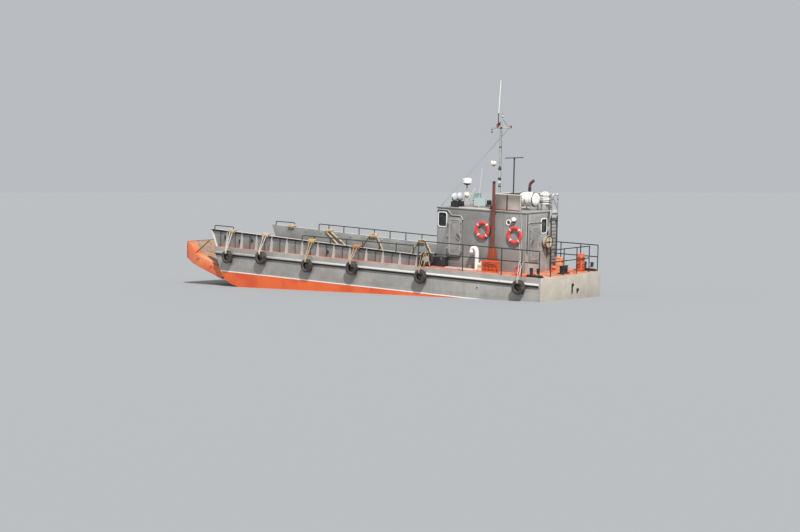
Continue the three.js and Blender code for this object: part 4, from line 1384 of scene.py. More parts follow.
@dataclass
class Hull:
    """The hull's plating, decks and hold, and what is welded to them.

    Attributes:
        hold_aft: X of the hold's aft end.
        hold_half: half the hold's width.
        hold_floor: height of the hold's floor.
        edge: softening of the plate edges.
        bead: radius of a weld bead.
        seam: X of both ends of the long weld on each side, and its height.
        butts: how many upright welds there are on a side.
        butt_x: X of the aftmost of them.
        butt_z: heights of their ends.
        discharge: forward of the transom and height of the discharge on each side.
        outlets: Y and height of the outlets in the transom.
    """

    hold_aft: float = -2.68
    hold_half: float = 1.95
    hold_floor: float = 0.85
    edge: float = 0.012
    bead: float = 0.006
    seam: Point = (-7.3, 7.9, 1.02)
    butts: int = 8
    butt_x: float = -5.35
    butt_z: tuple[float, float] = (0.3, 1.53)
    discharge: tuple[float, float] = (3.02, 1.29)
    outlets: Outline = ((-0.09, 1.49), (-0.47, 1.27))

    def finish_number(self, face: bmesh.types.BMFace) -> int:
        """The finish of one face: 0 topsides, 1 deck, 2 hold sides, 3 hold floor."""
        middle, normal = face.calc_center_median(), face.normal
        if normal.z > 0.9 and abs(middle.z - DECK) < 0.03:
            return 1
        inside = middle.x > self.hold_aft - 0.02 and abs(middle.y) < self.hold_half + 0.01
        if inside and normal.z > 0.9 and middle.z < self.hold_floor + 0.05:
            return 3
        return 2 if inside and self.hold_floor < middle.z < DECK + 0.02 and normal.x > -0.5 else 0

    def plating(self) -> None:
        """Builds the hull proper with its weld beads and outlets."""
        shape = refined("hull", self.edge, "topsides", "deck", "hold", "hold_floor",
                        choose=self.finish_number)
        beads = []
        for side in (1, -1):
            y = side * (HALF_BEAM + 0.001)
            beads.append([(x, y, self.seam[2]) for x in self.seam[:2]])
            for i in range(self.butts):
                x = self.butt_x + 2 * KNEE_STEP * i
                beads.append([(x, y, z) for z in self.butt_z])
            place, out = (station(self.discharge[0]), side * HALF_BEAM, self.discharge[1]), (0, side, 0)
            shape.band(place, out, 0.04, 0.062, -0.002, 0.014, "steel_grey")
            shape.disc(place, out, 0.041, 0.0, 0.003, "black")
        KIT.add(shape, "pipe", "topsides", beads, Radius=self.bead, Bend=0.0, Sides=6)
        for y, z in self.outlets:
            shape.band((STERN, y, z), AFT, 0.036, 0.052, -0.004, 0.05, "black")
            shape.disc((STERN, y, z), AFT, 0.037, 0.0, 0.01, "black")
        publish("hull_plating", shape, ("hull",))

    def hold_frames(self) -> None:
        """Builds the hold's side frames, stringers and lashing pots."""
        shape = Shape("hold")
        height = DECK - self.hold_floor
        middle = self.hold_floor + height / 2
        depth = 0.05
        rows = [[(x, side * (self.hold_half - depth / 2), middle) for x in (self.hold_aft + 0.3, 8.3)]
                for side in (1, -1)]
        KIT.add(shape, "slat", "hold", rows, Length=0.012, Depth=depth, Height=height - 0.01,
                Spacing=FRAME_STEP)
        for side in (1, -1):
            y = side * (self.hold_half - 0.012)
            for z in (self.hold_floor + 0.35, self.hold_floor + 0.72):
                shape.box((self.hold_aft + 0.01, y - 0.011, z), (8.35, y + 0.011, z + 0.07), "hold", 0.003)
        pots = [[(x, y, self.hold_floor) for x in (self.hold_aft + 0.6, 8.2)]
                for y in (-1.35, -0.45, 0.45, 1.35)]
        KIT.add(shape, "stud", "hold_floor", pots, Radius=0.06, Height=0.018, Spacing=1.2, Turn_X=0.0)
        seams = [[(x, y, self.hold_floor) for y in (-1.9, 1.9)] for x in (-1.2, 0.6, 2.4, 4.2, 6.0, 7.8)]
        KIT.add(shape, "pipe", "hold_floor", seams, Radius=0.007, Bend=0.0, Sides=6)
        publish("hold_frames", shape)

    def build(self) -> None:
        """Builds the hull's pieces."""
        self.plating()
        self.hold_frames()


@dataclass
class Strakes:
    """The rubbing strakes, with their seams and a black pipe under them as painted shadow.

    Attributes:
        seams: X of the seams across each strake.
        crown: height of the crown.
        base: distance from the hull's side at which a seam starts and ends.
    """

    seams: tuple[float, ...] = (-6.1, -2.5, 1.1, 4.7, 7.4)
    crown: float = 1.615
    base: float = 0.03

    def build(self) -> None:
        """Builds both strakes."""
        for side, word in SIDES:
            node = f"rub_strake_{word}"
            low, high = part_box(node)
            shape = refined(node, 0.0, "strake")
            near, far = side * (HALF_BEAM + self.base), high.y if side > 0 else low.y
            seams = [[(x, near, low.z + 0.012), (x, far, self.crown), (x, near, high.z - 0.012)]
                     for x in self.seams]
            KIT.add(shape, "pipe", "strake", seams, Radius=0.007, Bend=0.03, Sides=6)
            # A black pipe along the lower edge: painted shadow under the strake.
            y = side * (HALF_BEAM + 0.014)
            KIT.add(shape, "pipe", "black", [[(low.x + 0.02, y, low.z), (high.x - 0.02, y, low.z)]],
                    Radius=0.012, Bend=0.0)
            publish(node + "_steel", shape, (node,), crease=50)


@dataclass
class Coamings:
    """The hold's coamings with their knees, and what is fixed to them.

    Attributes:
        y: distance of the plate from the centreline.
        knees: how many knees there are on a side.
        handles: distances forward of the transom, and heights over the deck, of the handles on the plate.
    """

    y: float = 2.0
    knees: int = 12
    handles: Outline = ((17.16, 0.42), (16.25, 0.3), (15.53, 0.4), (14.92, 0.4), (11.1, 0.22))

    def top(self, x: float) -> float:
        """Height of the top edge at an X."""
        return DECK + COAMING_RISE + COAMING_SLOPE * (x - COAMING_AFT)

    def handle(self, shape: Shape, x: float, z: float, side: int) -> None:
        """Adds a bent handle on the plate's outer face."""
        y = side * (self.y + 0.006)
        out = side * (self.y + 0.07)
        shape.sweep([(x, y, z + 0.08), (x, out, z + 0.08), (x - 0.04, out, z - 0.08),
                     (x - 0.04, y, z - 0.08)], 0.017,
                    "black", 8, 0.03)
        shape.box((x - 0.09, min(y, y + side * 0.02), z - 0.05),
                  (x + 0.05, max(y, y + side * 0.02), z + 0.05), "black")

    def build(self) -> None:
        """Builds both side coamings and the end coaming."""
        for side, word in SIDES:
            node = f"coaming_{word}"
            shape = refined(node, 0.0025, "coaming")
            for forward, rise in self.handles:
                self.handle(shape, station(forward), DECK + rise, side)
            eyes = []
            for i in range(self.knees):
                x = COAMING_AFT + 0.65 + KNEE_STEP * i
                z = self.top(x) - 0.09
                eyes.append([(x - 0.04, side * 1.994, z), (x - 0.04, side * 1.94, z),
                             (x + 0.04, side * 1.94, z), (x + 0.04, side * 1.994, z)])
            KIT.add(shape, "pipe", "coaming", eyes, Radius=0.009, Bend=0.03, Sides=8)
            publish(node + "_plates", shape, (node,))
        shape = refined("hold_end_coaming", 0.003, "coaming")
        low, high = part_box("hold_end_coaming")
        line = [[(low.x + 0.035, y, (low.z + high.z) / 2) for y in (low.y + 0.2, high.y - 0.2)]]
        KIT.add(shape, "slat", "coaming", line, Length=0.05, Depth=0.01, Height=high.z - low.z - 0.03,
                Spacing=0.6)
        publish("hold_end_coaming_plates", shape, ("hold_end_coaming",))


@dataclass
class Ramp:
    """The bow ramp with its treads, edge bars and hinge ears.

    Attributes:
        half: half its width.
        floor: X and height along the walking surface, from the foot to the break under the lip.
        lip: X and height of the lip's top edge.
        eyes: X, and height over the foot of the walking surface, of the lifting eyes on each side.
        treads: how many treads there are.
    """

    half: float = 1.9
    floor: Outline = ((8.535, 0.88), (9.15, 1.03), (10.32, 1.45))
    lip: tuple[float, float] = (10.76, 1.95)
    eyes: Outline = ((10.1, 0.34), (9.3, 0.05))
    treads: int = 7

    def build(self) -> None:
        """Builds the ramp on its own body."""
        shape = refined("ramp", 0.014, "ramp")
        treads = []
        (x0, z0), (x1, z1) = self.floor[1:]
        for i in range(self.treads):
            share = (i + 0.6) / self.treads
            x, z = x0 + (x1 - x0) * share, z0 + (z1 - z0) * share
            treads.append([(x, -self.half + 0.35, z + 0.004), (x, self.half - 0.35, z + 0.004)])
        KIT.add(shape, "pipe", "ramp", treads, Radius=0.016, Bend=0.0, Sides=8)
        rails = []
        for side in (1, -1):
            y = side * (self.half - 0.03)
            rails.append([(x, y, z + 0.012) for x, z in self.floor] + [(self.lip[0] - 0.02, y, self.lip[1])])
        KIT.add(shape, "pipe", "ramp", rails, Radius=0.022, Bend=0.05, Sides=10)
        edge_x, edge_z = self.lip[0] + 0.045, self.lip[1] - 0.02
        lip = [[(edge_x, side * (self.half - 0.02), edge_z) for side in (-1, 1)]]
        KIT.add(shape, "pipe", "ramp_lip", lip, Radius=0.045, Bend=0.0, Sides=14)
        for side in (1, -1):
            seam = [(10.3, side * 1.87, 1.5), (10.73, side * 0.56, 1.945)]
            KIT.add(shape, "pipe", "black", [seam], Radius=0.014, Bend=0.0, Sides=8)
            for x, rise in self.eyes:
                eye = (x, side * (self.half + 0.01), self.floor[0][1] + rise)
                shape.ring(eye, (0.2, 0, 1), 0.05, 0.014, "black", 20)
        publish("ramp_plates", shape, ("ramp",), body="ramp")


@dataclass
class Fenders:
    """The tyre fenders and the ropes that carry them.

    Attributes:
        coaming: the coamings that most of the ropes pass over.
        outer: the tyre's outer radius.
        hole: radius of its hole.
        half_width: half its width.
        tread_lugs: lugs round the tread.
        rail: Y and rise over the deck of the bar that carries the two aftmost tyres.
        finishes: the port tyres' strands and the turns heaped over them.
        inboard: for three starboard tyres, distance forward of the transom and rise over the deck along the
            thick rope that comes over the coaming, from one lashing eye inside it to the other.
        spare: distance forward of the transom, Y and rise of the spare tyre's centre.
    """

    coaming: Coamings
    outer: float = 0.292
    hole: float = 0.15
    half_width: float = 0.09
    tread_lugs: int = 38
    rail: tuple[float, float] = (2.12, 0.57)
    finishes: tuple[tuple[str, str], ...] = (
        ("rope_white", "rope_tan"),
        ("rope_white", "rope_tan"),
        ("rope_tan", "rope_yellow"),
        ("rope_tan", "rope_orange"),
        ("rope_tan", "rope_tan"),
        ("rope_white", "rope_white"),
    )
    inboard: tuple[Outline, ...] = (
        ((13.27, 0.03), (14.26, 0.64), (14.45, 0.76), (14.58, 0.66), (13.75, 0.03)),
        ((12.56, 0.03), (12.0, 0.67), (11.8, 0.78), (11.6, 0.68), (11.2, 0.03)),
        ((9.62, 0.03), (9.22, 0.6), (9.02, 0.7), (8.8, 0.6), (8.46, 0.03)),
    )
    spare: Point = (5.88, 1.86, 0.29)

    def tyre(self, centre: Vector, turn: float) -> Shape:
        """One tyre round an axis along Y.

        Args:
            centre: its centre.
            turn: turn of the tread about the axis.

        Returns:
            The tyre.
        """
        shape = Shape("tyre")
        wall, hole, outer = self.half_width, self.hole, self.outer
        half = [
            (hole, 0.55), (hole + 0.006, 0.8), (hole + 0.018, 0.93), (hole + 0.03, 0.9), (hole + 0.042, 0.97),
            (hole + 0.07, 1.0), (outer - 0.045, 0.99), (outer - 0.02, 0.86), (outer - 0.008, 0.62),
            (outer - 0.006, 0.4), (outer - 0.014, 0.36), (outer - 0.014, 0.26), (outer - 0.005, 0.22),
        ]
        hollow = [(hole + 0.03, 0.75), (outer - 0.03, 0.5)]
        section = [(r, -h * wall) for r, h in half] + [(r, h * wall) for r, h in reversed(half)]
        section += [(r, h * wall) for r, h in hollow] + [(r, -h * wall) for r, h in reversed(hollow)]
        shape.lathe(section + section[:1], tuple(centre), PORT, "tyre", 56)
        part = bmesh.new()
        lug = Matrix.Diagonal((0.022, wall * 0.34, 0.024, 1.0))
        for i in range(self.tread_lugs):
            for band in (-1, 1):
                angle = turn + math.tau * (i + 0.25 * band) / self.tread_lugs
                place = Matrix.Translation(centre) @ Matrix.Rotation(-angle, 4, "Y")
                place = place @ Matrix.Translation((outer - 0.012, band * wall * 0.62, 0))
                bmesh.ops.create_cube(part, size=1.0, matrix=place @ lug)
        shape.absorb(part, "tyre")
        return shape

    def strands(self, centre: Vector, side: int, hang: Vector) -> list[list[Point]]:
        """Paths of a tyre's two strands, from a bar or flange round the tyre's upper part."""
        x, y, z = centre
        out, back = y + side * (self.half_width + 0.02), y - side * (self.half_width + 0.016)
        lines = []
        for lean in (-1, 1):
            top, low = hang.x + 0.08 * lean, x + 0.026 * lean
            lines.append([
                (top, hang.y - side * 0.05, hang.z - 0.05),
                (top, hang.y - side * 0.03, hang.z + 0.02),
                (top, hang.y + side * 0.12, hang.z + 0.02),
                (low, out - side * 0.02, z + self.outer + 0.02),
                (low, out, z + self.outer - 0.05),
                (low, out, z + self.hole + 0.02),
                (low, y, z + self.hole - 0.02),
                (low, back, z + self.hole + 0.05),
                (low, back, z + self.outer - 0.03),
                (low, y - side * 0.02, z + self.outer + 0.04),
            ])
        return lines

    def heap(self, side: int, hang: Vector) -> list[list[Point]]:
        """Paths of the turns heaped where a rope is made fast."""
        lines = []
        for i in range(9):
            x = hang.x - 0.17 + 0.042 * i
            swell = 0.035 + 0.03 * math.sin(i * 2.1)
            lines.append([
                (x, hang.y - side * 0.045, hang.z - 0.05),
                (x + 0.02, hang.y - side * (0.05 + swell), hang.z + 0.02),
                (x - 0.02, hang.y + side * 0.04, hang.z + 0.035 + swell),
                (x + 0.03, hang.y + side * (0.12 + swell), hang.z + 0.015),
                (x, hang.y + side * 0.12, hang.z - 0.07),
            ])
        return lines

    def crossing(self, shape: Shape, path: Outline) -> None:
        """Adds a thick rope over the starboard coaming, with the two eyes that its ends are lashed to."""
        inner, crown = -self.coaming.y + 0.045, -self.coaming.y - 0.02
        spots = []
        for i, (forward, rise) in enumerate(path):
            spots.append((station(forward), crown if i == 2 else inner, DECK + rise))
        KIT.add(shape, "rope", "rope_tan", smooth([spots], 0.14), Radius=0.034, Lay=5.0)
        for spot in (spots[0], spots[-1]):
            shape.ring(spot, PORT, 0.04, 0.012, "black", 20)

    def spare_tyre(self) -> None:
        """Builds the spare tyre that leans on the end of the port coaming, with a rope over it."""
        shape = self.tyre(Vector((0, 0, 0)), 0.4)
        spare = Shape("tyre")
        place = Vector((station(self.spare[0]), self.spare[1], DECK + self.spare[2]))
        turn = Matrix.Rotation(math.radians(52), 4, "Z") @ Matrix.Rotation(math.radians(-9), 4, "X")
        spare.take(shape, Matrix.Translation(place) @ turn)
        lines = []
        for shift in (-0.05, 0.05):
            lines.append([tuple(place + turn @ Vector(spot)) for spot in (
                (shift * 2, -0.12, 0.1), (shift, -0.12, 0.27), (shift, 0.0, 0.315), (shift, 0.12, 0.27),
                (shift * 1.6, 0.13, -0.05), (shift * 2.5, 0.16, -0.24),
            )])
        KIT.add(spare, "rope", "rope_tan", smooth(lines, 0.05), Radius=0.02)
        publish("spare_tyre", spare)

    def build(self) -> None:
        """Builds the twelve tyres with their ropes, and the spare one."""
        for side, word in SIDES:
            for i in TYRES:
                node = f"tyre_fender_{word}_{i}"
                low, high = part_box(node)
                centre = (low + high) / 2
                publish(node + "_rubber", self.tyre(centre, 0.7 * i), (node,), crease=42)
                over = centre.x > COAMING_AFT
                rise = self.coaming.top(centre.x) if over else DECK + self.rail[1]
                hang = Vector((centre.x, side * (self.coaming.y if over else self.rail[0]), rise))
                strand, turns = self.finishes[i - 1] if side > 0 else ("rope_tan", "rope_tan")
                shape = Shape(strand)
                KIT.add(shape, "rope", strand, smooth(self.strands(centre, side, hang), 0.05),
                        Radius=0.017 if over else 0.011)
                if over:
                    KIT.add(shape, "rope", turns, smooth(self.heap(side, hang), 0.03), Radius=0.021)
                if side < 0 and i in (2, 3, 4):
                    self.crossing(shape, self.inboard[i - 2])
                publish(f"fender_ropes_{word}_{i}", shape)
        self.spare_tyre()


@dataclass
class Rails:
    """Pipe rails: on the coamings, at the bow, on the deck's edge and across the stern.

    Attributes:
        coaming: the coamings that carry some of them.
        y: distance of the coaming rails from the centreline.
        edge_y: distance of the deck-edge rails from the centreline.
        radius: the pipes' radius.
        bend: radius of the bends.
        edge_posts: the deck-edge posts' distances forward of the transom.
        stern_posts: Y of the stern rail's posts.
        heights: top and middle bar of the guard rails over the deck.
    """

    coaming: Coamings
    y: float = 2.055
    edge_y: float = 2.15
    radius: float = 0.021
    bend: float = 0.06
    edge_posts: tuple[float, ...] = (6.05, 3.81, 1.91, 0.95, 0.12)
    stern_posts: tuple[float, ...] = (1.35, 0.4, -0.55, -1.49)
    heights: tuple[float, float] = (1.05, 0.57)

    def foot_plate(self, shape: Shape, x: float, y: float, z: float) -> None:
        """Adds the round plate and weld under a post."""
        plate = [(0, 0), (0.048, 0), (0.048, 0.007), (0.029, 0.01), (0.022, 0.024), (0, 0.024)]
        shape.lathe(plate, (x, y, z), UP, "black", 20)

    def on_coaming(self, node: str, side: int, ends: tuple[float, float], rises: tuple[float, float]) -> None:
        """Builds a rail on a coaming's flange.

        Args:
            node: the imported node.
            side: 1 for port, -1 for starboard.
            ends: distances forward of the transom of its aft and fore ends.
            rises: heights of the top bar over the deck there.
        """
        shape = Shape("black")
        x0, x1, y = station(ends[0]), station(ends[1]), side * self.y
        z0, z1 = DECK + rises[0], DECK + rises[1]
        lines = [[(x0, y, self.coaming.top(x0)), (x0, y, z0), (x1, y, z1), (x1, y, self.coaming.top(x1))]]
        x = x0 + KNEE_STEP
        while x < x1 - KNEE_STEP / 2:
            lines.append([(x, y, self.coaming.top(x)), (x, y, z0 + (z1 - z0) * (x - x0) / (x1 - x0))])
            x += KNEE_STEP
        KIT.add(shape, "pipe", "black", lines, Radius=self.radius, Bend=self.bend)
        for x in [line[0][0] for line in lines] + [x1]:
            self.foot_plate(shape, x, y, self.coaming.top(x))
        publish(node + "_pipes", shape, (node,))

    def guard(self, node: str, start: tuple[float, float], end: tuple[float, float],
              posts: Outline) -> None:
        """Builds a two-bar guard rail on the deck.

        Args:
            node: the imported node.
            start: X and Y of one end.
            end: X and Y of the other.
            posts: X and Y of each post.
        """
        shape = Shape("black")
        lines = [[(*start, DECK + rise), (*end, DECK + rise)] for rise in self.heights]
        lines += [[(*post, DECK), (*post, DECK + self.heights[0])] for post in posts]
        KIT.add(shape, "pipe", "black", lines, Radius=self.radius, Bend=0.0)
        for post in posts:
            self.foot_plate(shape, *post, DECK)
            cap = [(0, -0.012), (0.02, -0.012), (0.026, 0), (0.017, 0.016), (0, 0.021)]
            shape.lathe(cap, (*post, DECK + self.heights[0]), UP, "black", 16)
        publish(node + "_pipes", shape, (node,))

    def build(self) -> None:
        """Builds every rail."""
        self.on_coaming("coaming_rail_port", 1, (6.4, 12.5), (0.83, 0.83))
        self.on_coaming("coaming_rail_starboard", -1, (6.4, 15.1), (0.85, 0.97))
        for side, word in SIDES:
            self.on_coaming(f"bow_handrail_{word}", side, (16.6, 17.78), (0.93, 0.93))
            posts = [(station(forward), side * self.edge_y) for forward in self.edge_posts]
            self.guard(f"aft_rail_{word}", posts[0], posts[-1], posts)
        x = station(0.12)
        self.guard("stern_rail", (x, self.stern_posts[0]), (x, self.stern_posts[-1]),
                   [(x, y) for y in self.stern_posts])


@dataclass
class Wheelhouse:
    """The wheelhouse's walls and roof with windows, drip rails, lamps and pipes.

    Attributes:
        aft: X of the aft wall's outer face.
        fore: X of the fore wall's outer face.
        half: distance of the side walls' outer faces from the centreline.
        frame_width: width of a window frame.
        corner: radius of a window's corners.
        glass: distance of the glass inwards from the outer face.
        drip: distance forward of the transom and rise over the deck of the side drip rail's corners.
        side_bar: the same for the black bar under the side door, a painted shadow under the door leaf.
    """

    aft: float = -7.35
    fore: float = -2.97
    half: float = 1.15
    frame_width: float = 0.042
    corner: float = 0.07
    glass: float = 0.03
    drip: Outline = ((5.84, 2.32), (5.32, 2.32), (5.12, 2.12), (4.66, 2.12), (4.56, 1.96))
    side_bar: Outline = ((5.31, 0.6), (5.24, 0.4), (4.66, 0.4), (4.59, 0.6))

    def window(self, shape: Shape, axis: str, face: float, out: int, span: tuple[float, float],
               rise: tuple[float, float]) -> None:
        """Adds a framed pane to an opening in a wall.

        Args:
            shape: the piece that takes it.
            axis: the wall's normal.
            face: place of the wall's outer face on that axis.
            out: which way is outwards on it.
            span: the opening's ends along the wall.
            rise: its lower and upper edge over the deck.
        """
        area = (*span, DECK + rise[0], DECK + rise[1])
        width, radius = self.frame_width, self.corner
        inner = inset(area, 0.002, radius)
        edge = sorted((face - out * 0.004, face + out * 0.018))
        shape.loop(inset(area, -width, radius + width), inner, axis, *edge, "white", 0.005)
        depth = sorted((face - out * (self.glass + 0.014), face + out * 0.006))
        shape.loop(inner, inset(area, 0.02, radius - 0.018), axis, *depth, "black")
        layer = sorted((face - out * (self.glass + 0.006), face - out * self.glass))
        shape.prism(inset(area, 0.012, radius - 0.01), axis, *layer, "window")

    def line(self, side: int, out: float, ends: tuple[float, float],
             rises: tuple[float, float]) -> list[Point]:
        """A straight line along a side wall.

        Args:
            side: 1 for port, -1 for starboard.
            out: its distance from the wall's face.
            ends: distances forward of the transom of its two ends.
            rises: their heights over the deck.

        Returns:
            Its two ends.
        """
        y = side * self.half + side * out
        return [(station(forward), y, DECK + rise) for forward, rise in zip(ends, rises)]

    def sides(self) -> None:
        """Builds the side walls."""
        for side, word in SIDES:
            node = f"wheelhouse_wall_{word}"
            shape = refined(node, 0.004, "house")
            y = side * self.half
            self.window(shape, "Y", y, side, (station(5.41), station(5.80)), (1.64, 2.20))
            # A black frame round the doorway: a gasket, and painted shadow round the door leaf.
            doorway = (station(4.6), station(5.3), DECK + 0.42, DECK + 2.05)
            shape.rim(doorway, 0.062, (0.14, 0.11), "Y", *sorted((y - side * 0.004, y + side * 0.0055)),
                      "black")
            rail = [(station(forward), y + side * 0.022, DECK + rise) for forward, rise in self.drip]
            shape.sweep(rail, 0.026, "door_rim", 10, 0.04)
            # A black strip under the drip rail: painted shadow.
            shape.sweep([(x, y + side * 0.014, z - 0.038) for x, _, z in rail], 0.02, "black", 8, 0.04)
            # A black bar round the door's lower corners: painted shadow under the door leaf.
            bar_y = y + side * 0.05
            bars = [(station(forward), bar_y, DECK + rise) for forward, rise in self.side_bar]
            ends = [(bars[0][0], y, bars[0][2]), *bars, (bars[-1][0], y, bars[-1][2])]
            shape.sweep(ends, 0.019, "black", 10, 0.06)
            seams = [self.line(side, 0.001, (forward, forward), (0.02, 2.37)) for forward in (2.55, 4.15)]
            seams.append(self.line(side, 0.001, (1.52, 5.86), (0.16, 0.16)))
            KIT.add(shape, "pipe", "house", seams, Radius=0.006, Bend=0.0, Sides=6)
            pipes = [self.line(side, 0.035, (forward, forward), (0.02, 2.36)) for forward in (1.66, 1.74)]
            KIT.add(shape, "pipe", "house_pale", pipes, Radius=0.014, Bend=0.0, Sides=10)
            low, high = sorted((y - side * 0.002, y + side * 0.04))
            for x in (station(1.66), station(1.74)):
                for z in (DECK + 0.5, DECK + 1.3, DECK + 2.1):
                    shape.box((x - 0.02, low, z), (x + 0.02, high, z + 0.03), "steel_grey")
            self.porthole(shape, side)
            self.lamp(shape, side)
            self.hooks(shape, side)
            studs = [self.line(side, 0.004, (1.62, 5.8), (2.33, 2.33))]
            KIT.add(shape, "stud", "house", studs, Spacing=0.16, Turn_X=-side * math.pi / 2, Radius=0.012,
                    Height=0.01)
            publish(node + "_plates", shape, (node,))

    def porthole(self, shape: Shape, side: int) -> None:
        """Adds the small round port high in a side wall."""
        place = (station(2.31), side * self.half, DECK + 1.99)
        rim = [(0.075, -0.002), (0.125, -0.002), (0.125, 0.012), (0.115, 0.022), (0.085, 0.022),
               (0.075, 0.012), (0.075, -0.002)]
        shape.lathe(rim, place, (0, side, 0), "white", 36)
        shape.disc(place, (0, side, 0), 0.077, -0.002, 0.006, "window", 36)

    def lamp(self, shape: Shape, side: int) -> None:
        """Adds the bulkhead lamp beside the port: a pale hood over a black body."""
        x, y, z = station(2.0), side * self.half, DECK + 2.1
        dome = [(0, 0.125), (0.035, 0.12), (0.07, 0.1), (0.095, 0.065), (0.105, 0.02), (0.105, 0), (0, 0)]
        shape.lathe(dome, (x, y + side * 0.09, z), (0.0, side * 0.35, 1.0), "white", 28)
        bowl = [(0, -0.09), (0.05, -0.085), (0.085, -0.05), (0.1, 0.002), (0, 0.002)]
        shape.lathe(bowl, (x, y + side * 0.09, z), (0.0, side * 0.35, 1.0), "black", 28)
        shape.box((x - 0.05, min(y, y + side * 0.1), z - 0.05), (x + 0.05, max(y, y + side * 0.1), z + 0.03),
                  "black")

    def hooks(self, shape: Shape, side: int) -> None:
        """Adds the two hooks under each life ring."""
        y = side * self.half
        for forward, rise in RINGS:
            for shift in (-0.17, 0.17):
                x, z = station(forward) + shift, DECK + rise - 0.335
                shape.sweep([(x, y, z), (x, y + side * 0.125, z), (x, y + side * 0.125, z + 0.075)], 0.008,
                            "black", 8, 0.03)

    def ends(self) -> None:
        """Builds the fore and aft walls."""
        shape = refined("wheelhouse_wall_fore", 0.004, "house")
        for y in (-0.7, 0.0, 0.7):
            self.window(shape, "X", self.fore, 1, (y - 0.28, y + 0.28), (1.5, 2.18))
            arm = [(self.fore + 0.03, y + 0.2, DECK + 2.24), (self.fore + 0.03, y - 0.08, DECK + 1.8)]
            shape.sweep(arm, 0.008, "black", 8)
            shape.disc((self.fore + 0.03, y + 0.2, DECK + 2.25), FORE, 0.03, -0.04, 0.02, "black", 16)
        handrail = [[(self.fore, -0.95, DECK + 1.25), (self.fore + 0.06, -0.95, DECK + 1.25),
                     (self.fore + 0.06, 0.95, DECK + 1.25), (self.fore, 0.95, DECK + 1.25)]]
        KIT.add(shape, "pipe", "black", handrail, Radius=0.014, Bend=0.03, Sides=10)
        brow = [(self.fore - 0.002, DECK + 2.27), (self.fore + 0.05, DECK + 2.24),
                (self.fore + 0.05, DECK + 2.26), (self.fore - 0.002, DECK + 2.3)]
        shape.prism(brow, "Y", -1.02, 1.02, "house")
        publish("wheelhouse_wall_fore_plates", shape, ("wheelhouse_wall_fore",))
        shape = refined("wheelhouse_wall_aft", 0.004, "house_aft")
        self.window(shape, "X", self.aft, -1, (-0.37, 0.0), (1.57, 2.12))
        # A black frame round the doorway: a gasket, and painted shadow round the door leaf.
        doorway = (0.13, 0.85, DECK + 0.43, DECK + 1.9)
        shape.rim(doorway, 0.062, (0.14, 0.11), "X", self.aft - 0.0055, self.aft + 0.004, "black")
        drip = [(self.aft - 0.02, y, DECK + rise) for y,
                rise in ((0.0, 1.96), (0.1, 2.02), (0.9, 2.02), (1.0, 1.96))]
        shape.sweep(drip, 0.022, "door_rim", 10, 0.05)
        cables = []
        for i, y in enumerate((-0.45, -0.485, 0.98, 1.02)):
            cables.append([(self.aft - 0.012, y, DECK + 0.5 + 0.1 * i), (self.aft - 0.012, y, DECK + 2.36)])
        KIT.add(shape, "pipe", "black", cables, Radius=0.009, Bend=0.02, Sides=8)
        shape.box((self.aft - 0.09, -0.47, DECK + 1.62), (self.aft - 0.002, -0.4, DECK + 1.8), "steel_grey",
                  0.012)
        self.reel(shape)
        publish("wheelhouse_wall_aft_plates", shape, ("wheelhouse_wall_aft",))

    def reel(self, shape: Shape) -> None:
        """Adds the hose reel on the aft wall, with the hose wound flat between its flanges."""
        place, out = (self.aft, -0.28, DECK + 1.2), AFT
        shape.disc(place, out, 0.05, 0.0, 0.22, "black")
        shape.disc(place, out, 0.25, 0.04, 0.055, "black", 40)
        for low in (0.05, 0.225):
            shape.ring((self.aft - low, *place[1:]), out, 0.245, 0.013, "black")
        for tip in coil((self.aft - 0.225, *place[1:]), "X", 0.245, 0.75, 0.0, 4):
            shape.bar((self.aft - 0.225, *place[1:]), tip, 0.01, "black", 8)
        for i in range(6):
            radius = 0.212 + 0.012 * (i % 2)
            shape.band(place, out, 0.05, radius, 0.058 + 0.026 * i, 0.082 + 0.026 * i, "rope_tan", 40)
        for y in (-0.42, -0.14):
            shape.sweep([(self.aft, y, DECK + 0.84), (self.aft - 0.03, y, DECK + 0.84),
                         (self.aft - 0.03, -0.28, DECK + 1.2)],
                        0.014, "black", 8, 0.04)

    def roof(self) -> None:
        """Builds the roof with its edge bar, laid planks and hatch."""
        shape = refined("wheelhouse_roof", 0.014, "house")
        a0, a1, b = self.aft - 0.02, self.fore + 0.02, self.half + 0.02
        corners = [(a0, -b), (a1, -b), (a1, b), (a0, b), (a0, -b)]
        KIT.add(shape, "pipe", "house_pale", [[(x, y, ROOF - 0.006) for x, y in corners]], Radius=0.013,
                Bend=0.05, Sides=8)
        for i in range(4):
            y = 0.72 + 0.1 * i
            finish = ("ramp_lip", "pale_board")[i % 2]
            shape.box((station(3.2), y, ROOF), (station(4.95 - 0.12 * (i % 2)), y + 0.085, ROOF + 0.028),
                      finish, 0.004)
        shape.box((station(4.0), -0.75, ROOF), (station(4.6), -0.15, ROOF + 0.09), "house", 0.02)
        shape.box((station(3.97), -0.78, ROOF + 0.085), (station(4.63), -0.12, ROOF + 0.11), "house", 0.01)
        shape.box((station(5.0), -1.1, ROOF), (station(5.5), -0.75, ROOF + 0.05), "orange", 0.01)
        shape.box((station(3.62), 0.48, ROOF + 0.16), (station(3.76), 0.66, ROOF + 0.34), "black", 0.02)
        shape.post(station(3.69), 0.57, ROOF, ROOF + 0.17, 0.02, "steel_grey", 10)
        shape.post(station(4.26), 0.5, ROOF, ROOF + 0.46, 0.012, "white_shell", 10)
        shape.bar((station(4.26), 0.5, ROOF + 0.44), (station(4.13), 0.5, ROOF + 1.63), 0.006, "white_shell",
                  10)
        shape.bar((station(5.04), 0.5, ROOF), (station(4.46), 0.5, ROOF + 0.78), 0.016, "white_shell", 10)
        shape.lathe([(0, 0), (0.06, 0), (0.06, 0.1), (0.12, 0.11), (0.12, 0.15), (0.07, 0.19), (0, 0.2)],
                    (station(3.3), 0.95, ROOF), UP, "house", 28)
